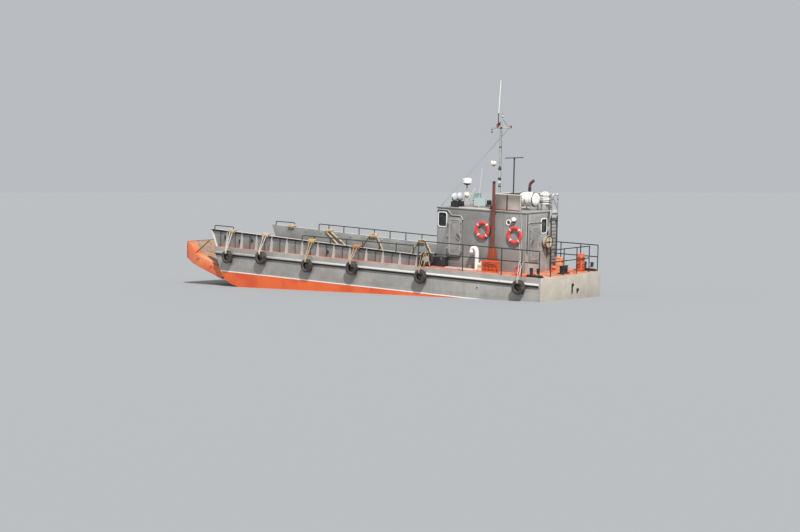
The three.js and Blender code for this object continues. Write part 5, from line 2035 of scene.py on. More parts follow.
        publish("wheelhouse_roof_plates", shape, ("wheelhouse_roof",))

    def build(self) -> None:
        """Builds the walls and the roof."""
        self.sides()
        self.ends()
        self.roof()


@dataclass
class Doors:
    """The weathertight doors, each on its own body.

    Attributes:
        side_hinge: X and Y of the port door's hinge axis; its leaf runs aft from there.
        aft_hinge: X and Y of the aft door's hinge axis; its leaf runs to port.
        side_size: width from the hinge axis, lower edge over the deck and height of a side door.
        aft_size: the same for the aft door.
    """

    side_hinge: tuple[float, float] = (-3.52, 1.19)
    aft_hinge: tuple[float, float] = (-7.39, 0.1)
    side_size: tuple[float, float, float] = (0.73, 0.42, 1.63)
    aft_size: tuple[float, float, float] = (0.75, 0.43, 1.47)

    def fittings(self, width: float, height: float) -> Shape:
        """What a door carries: X from the hinge axis, Y outwards from its face, Z from its lower edge."""
        shape = Shape("house")
        a0, a1, b0, b1 = 0.1, width - 0.07, 0.08, height - 0.08
        shape.rim((a0, a1, b0, b1), 0.045, (0.12, 0.085), "Y", -0.002, 0.016, "door_rim", 0.005)
        outer = rounded_rectangle(a0, a1, b0, b1, 0.12)
        seam = [[(a, 0.004, b) for a, b in outer[::3] + outer[:1]]]
        KIT.add(shape, "pipe", "black", seam, Radius=0.009, Bend=0.0, Sides=6)
        panel = (a0 + 0.13, a1 - 0.13, b0 + 0.2, b1 - 0.12)
        shape.rim(panel, 0.02, (0.05, 0.035), "Y", -0.002, 0.011, "house", 0.003)
        middle = height * 0.5
        edge = width - 0.07
        shape.disc((edge, 0, middle), PORT, 0.035, 0.0, 0.016, "steel_grey")
        shape.sweep([(edge, 0, middle), (edge, 0.043, middle), (edge - 0.15, 0.043, middle + 0.16)], 0.018,
                    "black", 10, 0.02)
        grip = [(edge - 0.03, -0.002, middle - 0.08), (edge - 0.03, 0.04, middle - 0.08),
                (edge - 0.17, 0.04, middle + 0.02), (edge - 0.17, -0.002, middle + 0.02)]
        shape.sweep(grip, 0.009, "steel_grey", 10, 0.02)
        for share in (0.16, 0.36, 0.66, 0.86):
            z = height * share
            shape.box((width - 0.055, -0.002, z - 0.02), (width - 0.012, 0.014, z + 0.02), "steel_grey",
                      0.004)
            shape.bar((width - 0.035, 0.008, z), (width - 0.035, 0.035, z), 0.01, "steel_grey", 12)
            shape.box((width - 0.045, 0.024, z - 0.012), (width, 0.034, z + 0.012), "black", 0.003)
        for share in (0.18, 0.5, 0.82):
            z = height * share
            shape.box((0.035, -0.004, z - 0.03), (0.19, 0.008, z + 0.03), "house", 0.004)
            for shift in (0.09, 0.15):
                shape.disc((shift, 0, z), PORT, 0.011, 0.006, 0.014, "steel_grey", 12)
        return shape

    def leaf(self, node: str, body: str, size: tuple[float, float, float], columns: Sequence[Point],
             place: Point) -> None:
        """Builds one door.

        Args:
            node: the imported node.
            body: its body.
            size: width from the hinge axis, lower edge over the deck and height.
            columns: directions of the fittings' three axes.
            place: where their origin goes.
        """
        shape = refined(node, 0.006, "house")
        matrix = Matrix([[column[row] for column in columns] for row in range(3)]).to_4x4()
        shape.take(self.fittings(size[0], size[2]), Matrix.Translation(place) @ matrix)
        publish(node + "_leaf", shape, (node,), body=body)

    def build(self) -> None:
        """Builds the three doors."""
        x, y = self.side_hinge
        low = DECK + self.side_size[1]
        self.leaf("door_port", "door_port", self.side_size, ((-1, 0, 0), (0, 1, 0), (0, 0, 1)), (x, y, low))
        self.leaf("door_starboard", "door_starboard", self.side_size, ((-1, 0, 0), (0, -1, 0), (0, 0, 1)),
                  (x, -y, low))
        x, y = self.aft_hinge
        self.leaf("door_aft", "door_aft", self.aft_size, ((0, 1, 0), (-1, 0, 0), (0, 0, 1)),
                  (x, y, DECK + self.aft_size[1]))


@dataclass
class HouseSides:
    """What stands beside the wheelhouse: exhausts, gooseneck vent and life rings.

    Attributes:
        exhaust: distance forward of the transom and Y of the port exhaust.
        outlets: X from the axis and rise over the deck along the port and the starboard exhaust's bare pipe.
        vent: the same as the exhaust for the vent.
        rings: distance forward of the transom and height over the deck of each life ring.
        ring_y: distance of the rings from the centreline.
        ring_size: the rings' middle radius, half the width of their section and half its depth.
    """

    exhaust: tuple[float, float] = (2.97, 1.29)
    outlets: tuple[Outline, Outline] = (((0, 2.4), (0, 3.61)), ((0, 2.4), (0, 3.44), (-0.19, 3.585)))
    vent: tuple[float, float] = (3.65, 1.40)
    rings: Outline = RINGS
    ring_y: float = 1.2053
    ring_size: Point = (0.293, 0.068, 0.054)

    def exhausts(self) -> None:
        """Builds both exhausts: trunk, pipe with clamps, and sooty end."""
        for (side, word), outlet in zip(SIDES, self.outlets):
            shape = Shape("exhaust")
            x, y = station(self.exhaust[0]), side * self.exhaust[1]
            part = bmesh.new()
            rings = []
            for rise, share in ((0.0, 1.0), (0.62, 1.0), (0.9, 0.72), (0.95, 0.66)):
                outline = rounded_rectangle(-0.165 * share, 0.165 * share, -0.13 * share, 0.13 * share, 0.03)
                rings.append([part.verts.new((x + a, y + b, DECK + rise)) for a, b in outline])
            skin(part, rings)
            shape.absorb(part, "exhaust")
            lagging = [(0, 0.9), (0.08, 0.9), (0.08, 2.46), (0.062, 2.48), (0, 2.48)]
            shape.lathe(lagging, (x, y, DECK), UP, "exhaust", 36)
            route = [(x + a, y, DECK + b) for a, b in outlet]
            shape.sweep(route, 0.06, "exhaust", 28, 0.12)
            mouth = Vector(route[-1])
            ahead = (mouth - Vector(route[-2])).normalized()
            shape.band(tuple(mouth), tuple(ahead), 0.05, 0.064, -0.03, 0.004, "exhaust")
            shape.disc(tuple(mouth), tuple(ahead), 0.051, 0.0, 0.001, "black")
            for rise, radius, depth in ((0.95, 0.104, 0.045), (1.7, 0.087, 0.035), (2.45, 0.087, 0.035)):
                shape.band((x, y, DECK + rise), UP, 0.06, radius, 0.0, depth, "exhaust")
            if side < 0:
                shape.disc((x, y, DECK), UP, 0.064, 2.85, 3.3, "black", 28)
            for rise in (1.7, 2.3):
                low, high = sorted((side * 1.148, y - side * 0.07))
                shape.box((x - 0.03, low, DECK + rise), (x + 0.03, high, DECK + rise + 0.035), "exhaust",
                          0.004)
            shape.pad(x, y, 0.19, 0.155, DECK, DECK + 0.025, "exhaust", 0.006)
            studs = [[(x + shift, y + side * 0.133, DECK + rise) for shift in (-0.16, 0.16)]
                     for rise in (0.1, 0.58)]
            KIT.add(shape, "stud", "exhaust", studs, Radius=0.012, Height=0.012, Spacing=0.08,
                    Turn_X=-side * math.pi / 2)
            publish(f"exhaust_{word}_pipe", shape, (f"exhaust_{word}",))

    def cowl(self) -> None:
        """Builds the gooseneck vent with its lip and foot."""
        shape = Shape("white_shell")
        x, y = station(self.vent[0]), self.vent[1]
        route = ((0, 0), (0, 0.4), (0, 0.68), (0.03, 0.82), (0.1, 0.895), (0.17, 0.9), (0.24, 0.85),
                 (0.27, 0.76), (0.272, 0.7))
        shape.sweep([(x + a, y, DECK + b) for a, b in route], 0.084, "white_shell", 28, 0.06)
        shape.band((x + 0.272, y, DECK + 0.698), UP, 0.082, 0.096, 0.0, 0.03, "white_shell")
        shape.disc((x + 0.272, y, DECK + 0.694), UP, 0.074, 0.0, 0.008, "black", 28)
        shape.disc((x, y, DECK), UP, 0.13, 0.0, 0.014, "white_shell", 32)
        for spot in coil((x, y, DECK), "Z", 0.112, 0.875, 0.0, 8):
            shape.disc(spot, UP, 0.009, 0.01, 0.024, "steel_grey", 8)
        publish("vent_cowl_pipe", shape, ("vent_cowl",))

    def life_ring(self, x: float, y: float, z: float, side: int) -> Shape:
        """One life ring with its bands and grab line.

        Args:
            x: X of its centre.
            y: Y of its centre.
            z: height of its centre.
            side: which way its face looks.

        Returns:
            The ring.
        """
        shape = Shape("ring_red")
        middle, half, depth = self.ring_size
        turns = [math.tau * k / 16 for k in range(17)]
        section = [(middle + half * math.cos(turn), -depth * math.sin(turn)) for turn in turns]
        shape.lathe(section, (x, y, z), PORT, "ring_red", 72)
        loop = []
        for quarter in range(4):
            mean = math.pi / 4 + quarter * math.pi / 2
            part = bmesh.new()
            rings = []
            for i in range(7):
                angle = mean + (i / 6 - 0.5) * 0.13
                radial = Vector((math.cos(angle), 0, math.sin(angle)))
                ring = []
                for turn in turns[:-1]:
                    spot = radial * (middle + (half + 0.0035) * math.cos(turn))
                    spot.y = (depth + 0.0035) * math.sin(turn)
                    ring.append(part.verts.new(Vector((x, y, z)) + spot))
                rings.append(ring)
            skin(part, rings)
            shape.absorb(part, "ring_white")
            for i in range(13):
                angle = mean + i / 12 * math.pi / 2
                sag = 0.02 * math.sin(math.pi * i / 12)
                reach = middle + half + 0.006 - sag * 0.4
                loop.append((x + reach * math.cos(angle), y + side * (0.02 + sag * 0.6),
                             z + reach * math.sin(angle)))
        KIT.add(shape, "rope", "rope_white", [loop], Radius=0.006, Lay=20.0)
        return shape

    def build(self) -> None:
        """Builds the exhausts, the vent and the rings."""
        self.exhausts()
        self.cowl()
        for side, word in SIDES:
            for i, (forward, rise) in enumerate(self.rings):
                shape = self.life_ring(station(forward), side * self.ring_y, DECK + rise, side)
                node = f"life_ring_{word}_{i + 1}"
                publish(node + "_buoy", shape, (node,), crease=60)


@dataclass
class RoofGear:
    """What stands on the wheelhouse roof and at its aft edge.

    Attributes:
        parapet: distances forward of the transom of the parapet's aft and fore ends.
        half: half the parapet's width.
        height: its height over the roof.
        drum: distance forward of the transom, Y, radius and half length of the raft canister.
        small: the same for the upright canister, with its lower and upper end over the roof.
        dome: distance forward of the transom and Y of the radar.
        lights: the same for the searchlights.
    """

    parapet: tuple[float, float] = (1.75, 3.1)
    half: float = 1.12
    height: float = 0.65
    drum: tuple[float, float, float, float] = (2.33, -0.3, 0.278, 0.43)
    small: tuple[float, float, float, float, float] = (1.83, -0.72, 0.212, 0.225, 0.74)
    dome: tuple[float, float] = (5.56, -0.45)
    lights: tuple[float, float] = (5.06, 0.88)

    def steering_place(self) -> None:
        """Builds the parapet with its stiffeners and top rail."""
        shape = refined("roof_parapet", 0.0, "parapet")
        top = ROOF + self.height
        aft, fore = station(self.parapet[0]), station(self.parapet[1])
        lines = [[(aft, -self.half + 0.015, top), (fore - 0.015, -self.half + 0.015, top),
                  (fore - 0.015, self.half - 0.015, top), (aft, self.half - 0.015, top)]]
        KIT.add(shape, "pipe", "house_pale", lines, Radius=0.026, Bend=0.06)
        for side in (1, -1):
            y = side * self.half
            out = sorted((y - side * 0.004, y + side * 0.026))
            for share, finish, width in ((0.02, "house_pale", 0.03), (0.5, "black", 0.035),
                                         (0.98, "house_pale", 0.03)):
                x = aft + (fore - aft) * share
                shape.box((x - width / 2, out[0], ROOF + 0.004), (x + width / 2, out[1], top - 0.02), finish,
                          0.004)
            shape.box((aft, out[0], ROOF + 0.004), (fore, out[1] - (0.01 if side > 0 else 0), ROOF + 0.05),
                      "ramp_lip", 0.004)
        for y in (-0.7, -0.23, 0.23, 0.7):
            shape.box((fore - 0.004, y - 0.015, ROOF + 0.004), (fore + 0.022, y + 0.015, top - 0.02),
                      "house_pale", 0.004)
        shape.box((station(2.55), 0.2, ROOF + 0.003), (station(2.9), 0.75, ROOF + 0.46), "house", 0.02)
        shape.lathe([(0, 0), (0.03, 0), (0.03, 0.1), (0, 0.1)], (station(2.55), 0.48, ROOF + 0.36),
                    (-1, 0, 0.2), "black", 16)
        shape.ring((station(2.44), 0.48, ROOF + 0.38), (-1, 0, 0.2), 0.16, 0.012, "black", 40)
        for i in range(3):
            angle = math.tau * i / 3 + 0.5
            spoke = (station(2.44), 0.48 + 0.15 * math.cos(angle), ROOF + 0.38 + 0.15 * math.sin(angle))
            shape.bar((station(2.44), 0.48, ROOF + 0.38), spoke, 0.008, "black", 8)
        publish("roof_parapet_plates", shape, ("roof_parapet",))

    def canisters(self) -> None:
        """Builds the raft canister in its cradle and the upright canister behind it."""
        shape = Shape("white_shell")
        forward, y, radius, half = self.drum
        x, z = station(forward), ROOF + radius + 0.15
        side = [(0, -half), (0.1, -half), (0.17, -half + 0.012), (0.23, -half + 0.045),
                (radius - 0.01, -half + 0.09)]
        ribs = []
        for place in (-0.26, -0.13, 0.13, 0.26):
            ribs += [(radius - 0.004, place - 0.03), (radius - 0.012, place - 0.02),
                     (radius - 0.012, place + 0.02), (radius - 0.004, place + 0.03)]
        lip = [(radius, -0.03), (radius + 0.012, -0.024), (radius + 0.012, 0.024), (radius, 0.03)]
        profile = side + ribs[:8] + lip + ribs[8:] + [(r, -h) for r, h in reversed(side)]
        shape.lathe(profile, (x, y, z), FORE, "white_shell", 56)
        for place in (-0.31, 0.31):
            shape.band((x + place, y, z), FORE, radius - 0.008, radius + 0.012, -0.014, 0.014, "black", 56)
            shape.box((x + place - 0.03, y - radius - 0.03, z - 0.05),
                      (x + place + 0.03, y - radius, z + 0.05), "galvanised")
        lashings = []
        for start, end in ((-0.34, 0.02), (0.34, -0.02)):
            lashings.append(coil((x + start, y, z), "X", radius + 0.014, 1.0, end - start, 40))
        KIT.add(shape, "rope", "rope_brown", lashings, Radius=0.008)
        for shift in (-0.27, 0.27):
            rim = []
            for i in range(9):
                angle = math.radians(210 + 15 * i)
                rim.append((x + shift, y + (radius + 0.012) * math.cos(angle),
                            z + (radius + 0.012) * math.sin(angle)))
            shape.sweep(rim, 0.018, "steel_grey", 8)
            for side_y in (-0.25, 0.25):
                shape.post(x + shift, y + side_y, ROOF, ROOF + 0.285, 0.018, "steel_grey")
            shape.pad(x + shift, y, 0.03, 0.28, ROOF + 0.001, ROOF + 0.03, "steel_grey")
        for side_y in (-0.25, 0.25):
            shape.bar((x - 0.27, y + side_y, ROOF + 0.2), (x + 0.27, y + side_y, ROOF + 0.2), 0.014,
                      "steel_grey")
        forward, y, radius, low, high = self.small
        x = station(forward)
        can = [(0, low), (radius - 0.03, low), (radius, low + 0.03), (radius, low + 0.2),
               (radius + 0.006, low + 0.21),
               (radius + 0.006, low + 0.24), (radius, low + 0.25), (radius, high - 0.1),
               (radius - 0.05, high - 0.045), (0.11, high - 0.02), (0.1, high), (0, high)]
        shape.lathe(can, (x, y, ROOF), UP, "white_shell", 48)
        for rise in (low + 0.08, low + 0.34):
            shape.band((x, y, ROOF + rise), UP, radius - 0.004, radius + 0.008, 0.0, 0.03, "black", 48)
        for a, b in ((1, 0), (0, 1), (-1, 0), (0, -1)):
            strap = [(radius + 0.006, low + 0.02), (radius + 0.006, high - 0.1),
                     (radius - 0.05, high - 0.035), (0.03, high - 0.01)]
            shape.sweep([(x + a * r, y + b * r, ROOF + h) for r, h in strap], 0.01, "black", 8, 0.03)
        for shift in (-0.09, 0.09):
            shape.box((x + shift - 0.025, -1.02, ROOF + 0.002), (x + shift + 0.025, -0.4, ROOF + 0.235),
                      "steel_grey")
        lash = coil((x, y, ROOF + low + 0.12), "Z", radius + 0.012, 2.0, 0.24)
        KIT.add(shape, "rope", "rope_brown", [lash], Radius=0.009)
        publish("raft_canister_shell", shape, ("raft_canister",))

    def radar(self) -> None:
        """Builds the radar: post, legs and drum with a black underside."""
        shape = Shape("white_shell")
        x, y = station(self.dome[0]), self.dome[1]
        post = [(0, 0), (0.09, 0), (0.09, 0.012), (0.036, 0.02), (0.03, 0.06), (0.03, 0.86), (0, 0.86)]
        shape.lathe(post, (x, y, ROOF), UP, "steel_grey", 28)
        shape.lathe([(0, 0.84), (0.07, 0.84), (0.155, 0.885), (0.165, 0.92), (0, 0.92)], (x, y, ROOF), UP,
                    "black", 44)
        drum = [(0, 0.91), (0.17, 0.91), (0.193, 0.93), (0.195, 1.03), (0.187, 1.04), (0.194, 1.05),
                (0.185, 1.09), (0.15, 1.118), (0.07, 1.132), (0, 1.135)]
        shape.lathe(drum, (x, y, ROOF), UP, "white_shell", 56)
        for foot in coil((x, y, ROOF + 0.002), "Z", 0.2, 0.7, 0.0, 3):
            shape.bar(foot, (x, y, ROOF + 0.6), 0.011, "galvanised", 10)
        publish("radar_dome_drum", shape, ("radar_dome",))

    def lamps(self) -> None:
        """Builds the two searchlights on their box, and the smaller buff lamp beside them."""
        shape = Shape("black")
        x, y = station(self.lights[0]), self.lights[1]
        shape.pad(x, y, 0.155, 0.265, ROOF + 0.002, ROOF + 0.2, "black", 0.01)
        top = (x - 0.16, x + 0.16, y - 0.27, y + 0.27)
        shape.rim(top, 0.015, (0.03, 0.02), "Z", ROOF + 0.05, ROOF + 0.235, "black", 0.004)
        bowl = [(0, -0.08), (0.06, -0.076), (0.12, -0.055), (0.16, -0.02), (0.172, 0.02), (0.175, 0.06),
                (0.166, 0.07), (0.157, 0.058), (0.14, 0.01), (0.08, -0.03), (0, -0.045)]
        for shift in (-0.185, 0.185):
            spot = (x, y + shift, ROOF + 0.415)
            shape.lathe(bowl, spot, FORE, "lamp_grey", 48)
            shape.disc(spot, FORE, 0.16, 0.05, 0.056, "lens", 44)
            shape.disc((x, y + shift, ROOF), UP, 0.02, 0.15, 0.245, "black")
            fork = [(x, y + shift + a, ROOF + b) for a,
                    b in ((-0.178, 0.43), (-0.178, 0.3), (0, 0.235), (0.178, 0.3), (0.178, 0.43))]
            shape.sweep(fork, 0.012, "black", 8, 0.06)
        publish("searchlights_lamps", shape, ("searchlights",))
        shape = Shape("steel_grey")
        x, y = station(4.86), 0.5
        shape.disc((x, y, ROOF), UP, 0.06, 0.0, 0.012, "steel_grey")
        shape.disc((x, y, ROOF), UP, 0.018, 0.0, 0.42, "steel_grey")
        cup = [(0, -0.1), (0.06, -0.095), (0.1, -0.06), (0.115, 0.02), (0.12, 0.07), (0.11, 0.075),
               (0.1, 0.03), (0, 0.0)]
        shape.lathe(cup, (x, y, ROOF + 0.5), (1, 0.2, 0), "can_cream", 36)
        shape.sweep([(x, y - 0.12, ROOF + 0.5), (x, y - 0.12, ROOF + 0.44), (x, y, ROOF + 0.38),
                     (x, y + 0.12, ROOF + 0.44), (x, y + 0.12, ROOF + 0.5)], 0.01, "black", 8, 0.03)
        publish("buff_lamp", shape)

    def windscreen(self) -> None:
        """Builds the green-tinted windscreen in its frame."""
        shape = Shape("screen")
        x, y = station(4.35), 0.5
        pane = rounded_rectangle(y - 0.255, y + 0.255, ROOF + 0.075, ROOF + 0.555, 0.03)
        shape.prism(pane, "X", x - 0.005, x + 0.005, "screen")
        frame_line = [(x, y - 0.262, ROOF + 0.002), (x, y - 0.262, ROOF + 0.57), (x, y + 0.262, ROOF + 0.57),
                      (x, y + 0.262, ROOF + 0.002)]
        KIT.add(shape, "pipe", "galvanised",
                [frame_line, [(x, y - 0.262, ROOF + 0.07), (x, y + 0.262, ROOF + 0.07)]],
                Radius=0.014, Bend=0.05)
        wing = rounded_rectangle(x - 0.6, x - 0.02, ROOF + 0.09, ROOF + 0.42, 0.05)
        shape.prism(wing, "Y", y + 0.25, y + 0.258, "screen_clear")
        shape.post(x - 0.61, y + 0.255, ROOF + 0.002, ROOF + 0.4, 0.01, "galvanised", 8)
        for side in (-0.262, 0.262):
            shape.bar((x, y + side, ROOF + 0.38), (x + 0.02, y + side, ROOF + 0.1), 0.007, "galvanised", 8)
            self.clamp(shape, (x, y + side, ROOF + 0.3))
        publish("roof_screen_pane", shape, ("roof_screen",))

    def clamp(self, shape: Shape, place: Point) -> None:
        """Adds a small pipe clamp round an upright."""
        shape.band(place, UP, 0.013, 0.026, -0.015, 0.015, "black", 16)

    def aft_ladder(self) -> None:
        """Builds the ladder with the step plate at its head and the two small lamps over it."""
        shape = Shape("black")
        wall, top = Wheelhouse().aft, ROOF + 0.62
        x = wall - 0.095
        lines = []
        for y in (-0.6, -1.03):
            lines.append([(x, y, DECK + 0.002), (x, y, ROOF - 0.2)])
            for z in (DECK + 0.7, DECK + 2.0):
                lines.append([(x, y, z), (wall, y, z)])
        rung = DECK + 0.3
        while rung < ROOF - 0.05:
            lines.append([(x, -0.6, rung), (x, -1.03, rung)])
            rung += 0.29
        KIT.add(shape, "pipe", "black", lines[:6], Radius=0.021, Bend=0.0, Sides=10)
        KIT.add(shape, "pipe", "black", lines[6:], Radius=0.0145, Bend=0.0, Sides=10)
        head = [
            [(x, -0.6, ROOF - 0.21), (x, -0.6, top), (x, -1.03, top), (x, -1.03, ROOF - 0.21)],
            [(x, -0.6, ROOF + 0.3), (x, -1.03, ROOF + 0.3)],
            [(x, -1.03, ROOF + 0.02), (x, -0.6, ROOF + 0.6)],
        ]
        KIT.add(shape, "pipe", "galvanised", head, Radius=0.022, Bend=0.05)
        shape.box((x + 0.018, -1.08, ROOF - 0.3), (x + 0.032, -0.52, ROOF + 0.03), "house_pale", 0.006)
        for y in (-0.68, -0.95):
            bulb = [(0, 0), (0.02, 0), (0.034, 0.016), (0.036, 0.035), (0.026, 0.055), (0, 0.062)]
            shape.lathe(bulb, (x, y, top + 0.006), UP, "white_shell", 24)
            self.clamp(shape, (x, -0.6 if y > -0.8 else -1.03, ROOF + 0.45))
        publish("ladder_steps", shape, ("ladder",))

    def build(self) -> None:
        """Builds the roof's gear."""
        self.steering_place()
        self.canisters()
        self.radar()
        self.lamps()
        self.windscreen()
        self.aft_ladder()


@dataclass
class Mast:
    """The mast with its lamps and stay, and the T aerial.

    Attributes:
        forward: distance of the mast forward of the transom.
        tree: height of the crosstree over the deck.
        arm: Y of the crosstree's starboard and port end.
        whip: Y and height over the deck of the whip's foot and tip.
        stay: distance forward of the transom and Y of the stay's foot on the roof.
        aerial: distance of the T aerial forward of the transom, its height over the roof and half its width.
    """

    forward: float = 3.6
    tree: float = 5.74
    arm: tuple[float, float] = (-0.74, 0.65)
    whip: Outline = ((0.19, 6.34), (0.09, 7.66))
    stay: tuple[float, float] = (5.74, 1.07)
    aerial: tuple[float, float, float] = (2.9, 2.09, 0.62)

    def lamp(self, shape: Shape, place: Point, finish: str) -> None:
        """Adds a lantern with a cap, a glass and a base."""
        base = [(0, -0.07), (0.036, -0.07), (0.04, -0.045), (0.02, -0.04), (0, -0.04)]
        glass = [(0, -0.04), (0.034, -0.04), (0.038, 0.0), (0.034, 0.04), (0, 0.04)]
        cap = [(0, 0.04), (0.04, 0.04), (0.036, 0.06), (0, 0.072)]
        for profile, dressed in ((base, "black"), (glass, finish), (cap, "black")):
            shape.lathe(profile, place, UP, dressed, 24)

    def horn(self, shape: Shape, x: float) -> None:
        """Adds the buff horn on its bracket before the mast."""
        z = ROOF + 1.83
        shape.sweep([(x, 0, z - 0.2), (x + 0.16, 0, z - 0.2), (x + 0.3, 0, z - 0.1)], 0.014, "mast", 8, 0.05)
        shape.disc((x + 0.3, 0, z), UP, 0.05, -0.12, -0.09, "black")
        bell = [(0, -0.1), (0.05, -0.095), (0.085, -0.06), (0.1, 0.04), (0.115, 0.09), (0.1, 0.09),
                (0.07, 0.03), (0, 0.0)]
        shape.lathe(bell, (x + 0.3, 0, z), (1, 0.3, 0), "can_cream", 32)
        for y in (-0.1, 0.1):
            shape.bar((x + 0.3, -y, z - 0.09), (x + 0.3, y, z + 0.17), 0.009, "steel_grey", 8)
        shape.bar((x + 0.3, -0.13, z + 0.14), (x + 0.3, 0.13, z + 0.14), 0.009, "steel_grey", 8)

    def head(self, shape: Shape, x: float) -> None:
        """Adds the crosstree with its brace, lamps and whip."""
        tree = DECK + self.tree
        starboard, port = self.arm
        (foot_y, foot_z), (tip_y, tip_z) = self.whip
        lines = [[(x, starboard, tree), (x, port, tree)]]
        KIT.add(shape, "pipe", "mast", lines, Radius=0.024, Bend=0.0)
        KIT.add(shape, "pipe", "mast", [[(x, -0.6, tree), (x, -0.09, tree + 0.37)]], Radius=0.019, Bend=0.0)
        shape.post(x, -0.09, tree, tree + 0.42, 0.026, "mast")
        self.lamp(shape, (x, -0.09, tree + 0.49), "lens")
        shape.post(x, foot_y, tree, DECK + foot_z, 0.018, "black")
        shape.band((x, foot_y, tree + 0.14), UP, 0.01, 0.032, -0.03, 0.03, "black")
        shape.bar((x, foot_y, DECK + foot_z - 0.02), (x, tip_y, DECK + tip_z), 0.014, "white_shell", 16)
        self.lamp(shape, (x, 0.27, tree + 0.085), "ring_red")
        self.lamp(shape, (x + 0.05, 0.04, tree + 0.15), "black")
        shape.box((x - 0.035, starboard, tree - 0.03), (x + 0.035, starboard + 0.07, tree + 0.08), "ramp_lip",
                  0.008)
        shape.post(x, port - 0.02, tree, tree - 0.12, 0.008, "mast", 8)
        self.lamp(shape, (x, port - 0.02, tree - 0.13), "steel_grey")

    def rigging(self, shape: Shape, x: float) -> None:
        """Adds the stay from the crosstree's starboard arm to the roof, with its foot and bottle screw."""
        foot = Vector((station(self.stay[0]), self.stay[1], ROOF + 0.03))
        top = Vector((x, -0.6, DECK + self.tree - 0.01))
        run = (top - foot).normalized()
        KIT.add(shape, "rope", "galvanised", [[tuple(top), tuple(foot)]], Radius=0.011, Lay=12.0)
        shape.box((foot.x - 0.04, foot.y - 0.03, ROOF + 0.001), (foot.x + 0.04, foot.y + 0.03, ROOF + 0.024),
                  "steel_grey", 0.004)
        shape.ring(tuple(foot + run * 0.02), PORT, 0.02, 0.006, "galvanised", 20)
        shape.disc(tuple(foot), tuple(run), 0.02, 0.06, 0.2, "galvanised", 12)

    def t_aerial(self) -> None:
        """Builds the T aerial."""
        shape = Shape("black")
        forward, rise, half = self.aerial
        x = station(forward)
        foot = [(0, 0), (0.07, 0), (0.07, 0.012), (0.04, 0.02), (0.028, 0.05), (0.027, rise + 0.005),
                (0, rise + 0.01)]
        shape.lathe(foot, (x, 0, ROOF + 0.001), UP, "black", 20)
        KIT.add(shape, "pipe", "black", [[(x, -half, ROOF + rise), (x, half, ROOF + rise)]], Radius=0.018,
                Bend=0.0)
        for y in (-half + 0.01, half - 0.01):
            shape.lathe([(0, -0.03), (0.02, -0.02), (0.022, 0.01), (0, 0.03)], (x, y, ROOF + rise), PORT,
                        "black", 14)
        shape.band((x, 0, ROOF + rise), UP, 0.02, 0.04, -0.06, 0.01, "black", 20)
        publish("t_aerial_rod", shape, ("t_aerial",))

    def build(self) -> None:
        """Builds the mast and the T aerial."""
        shape = Shape("mast")
        x, rise = station(self.forward), DECK + self.tree - ROOF
        pole = [(0, 0), (0.11, 0), (0.11, 0.014), (0.06, 0.022), (0.046, 0.06), (0.045, rise + 0.05),
                (0.033, rise + 0.065), (0.031, rise + 0.28), (0, rise + 0.29)]
        shape.lathe(pole, (x, 0, ROOF + 0.001), UP, "mast", 28)
        for place, radius, half in ((0.9, 0.06, 0.02), (1.21, 0.07, 0.035), (1.61, 0.072, 0.035),
                                    (1.69, 0.058, 0.02), (2.5, 0.055, 0.02), (rise, 0.056, 0.04)):
            shape.band((x, 0, ROOF + place), UP, 0.043, radius, -half, half, "black")
        shape.band((x, 0, ROOF + 1.06), UP, 0.043, 0.06, -0.04, 0.04, "white_shell")
        self.head(shape, x)
        self.horn(shape, x)
        self.rigging(shape, x)
        KIT.add(shape, "pipe", "black",
                [[(x - 0.052, 0.0, ROOF + 0.02), (x - 0.052, 0.0, ROOF + rise - 0.1)]],
                Radius=0.007, Bend=0.0, Sides=8)
        publish("mast_gear", shape, ("mast",))
        self.t_aerial()


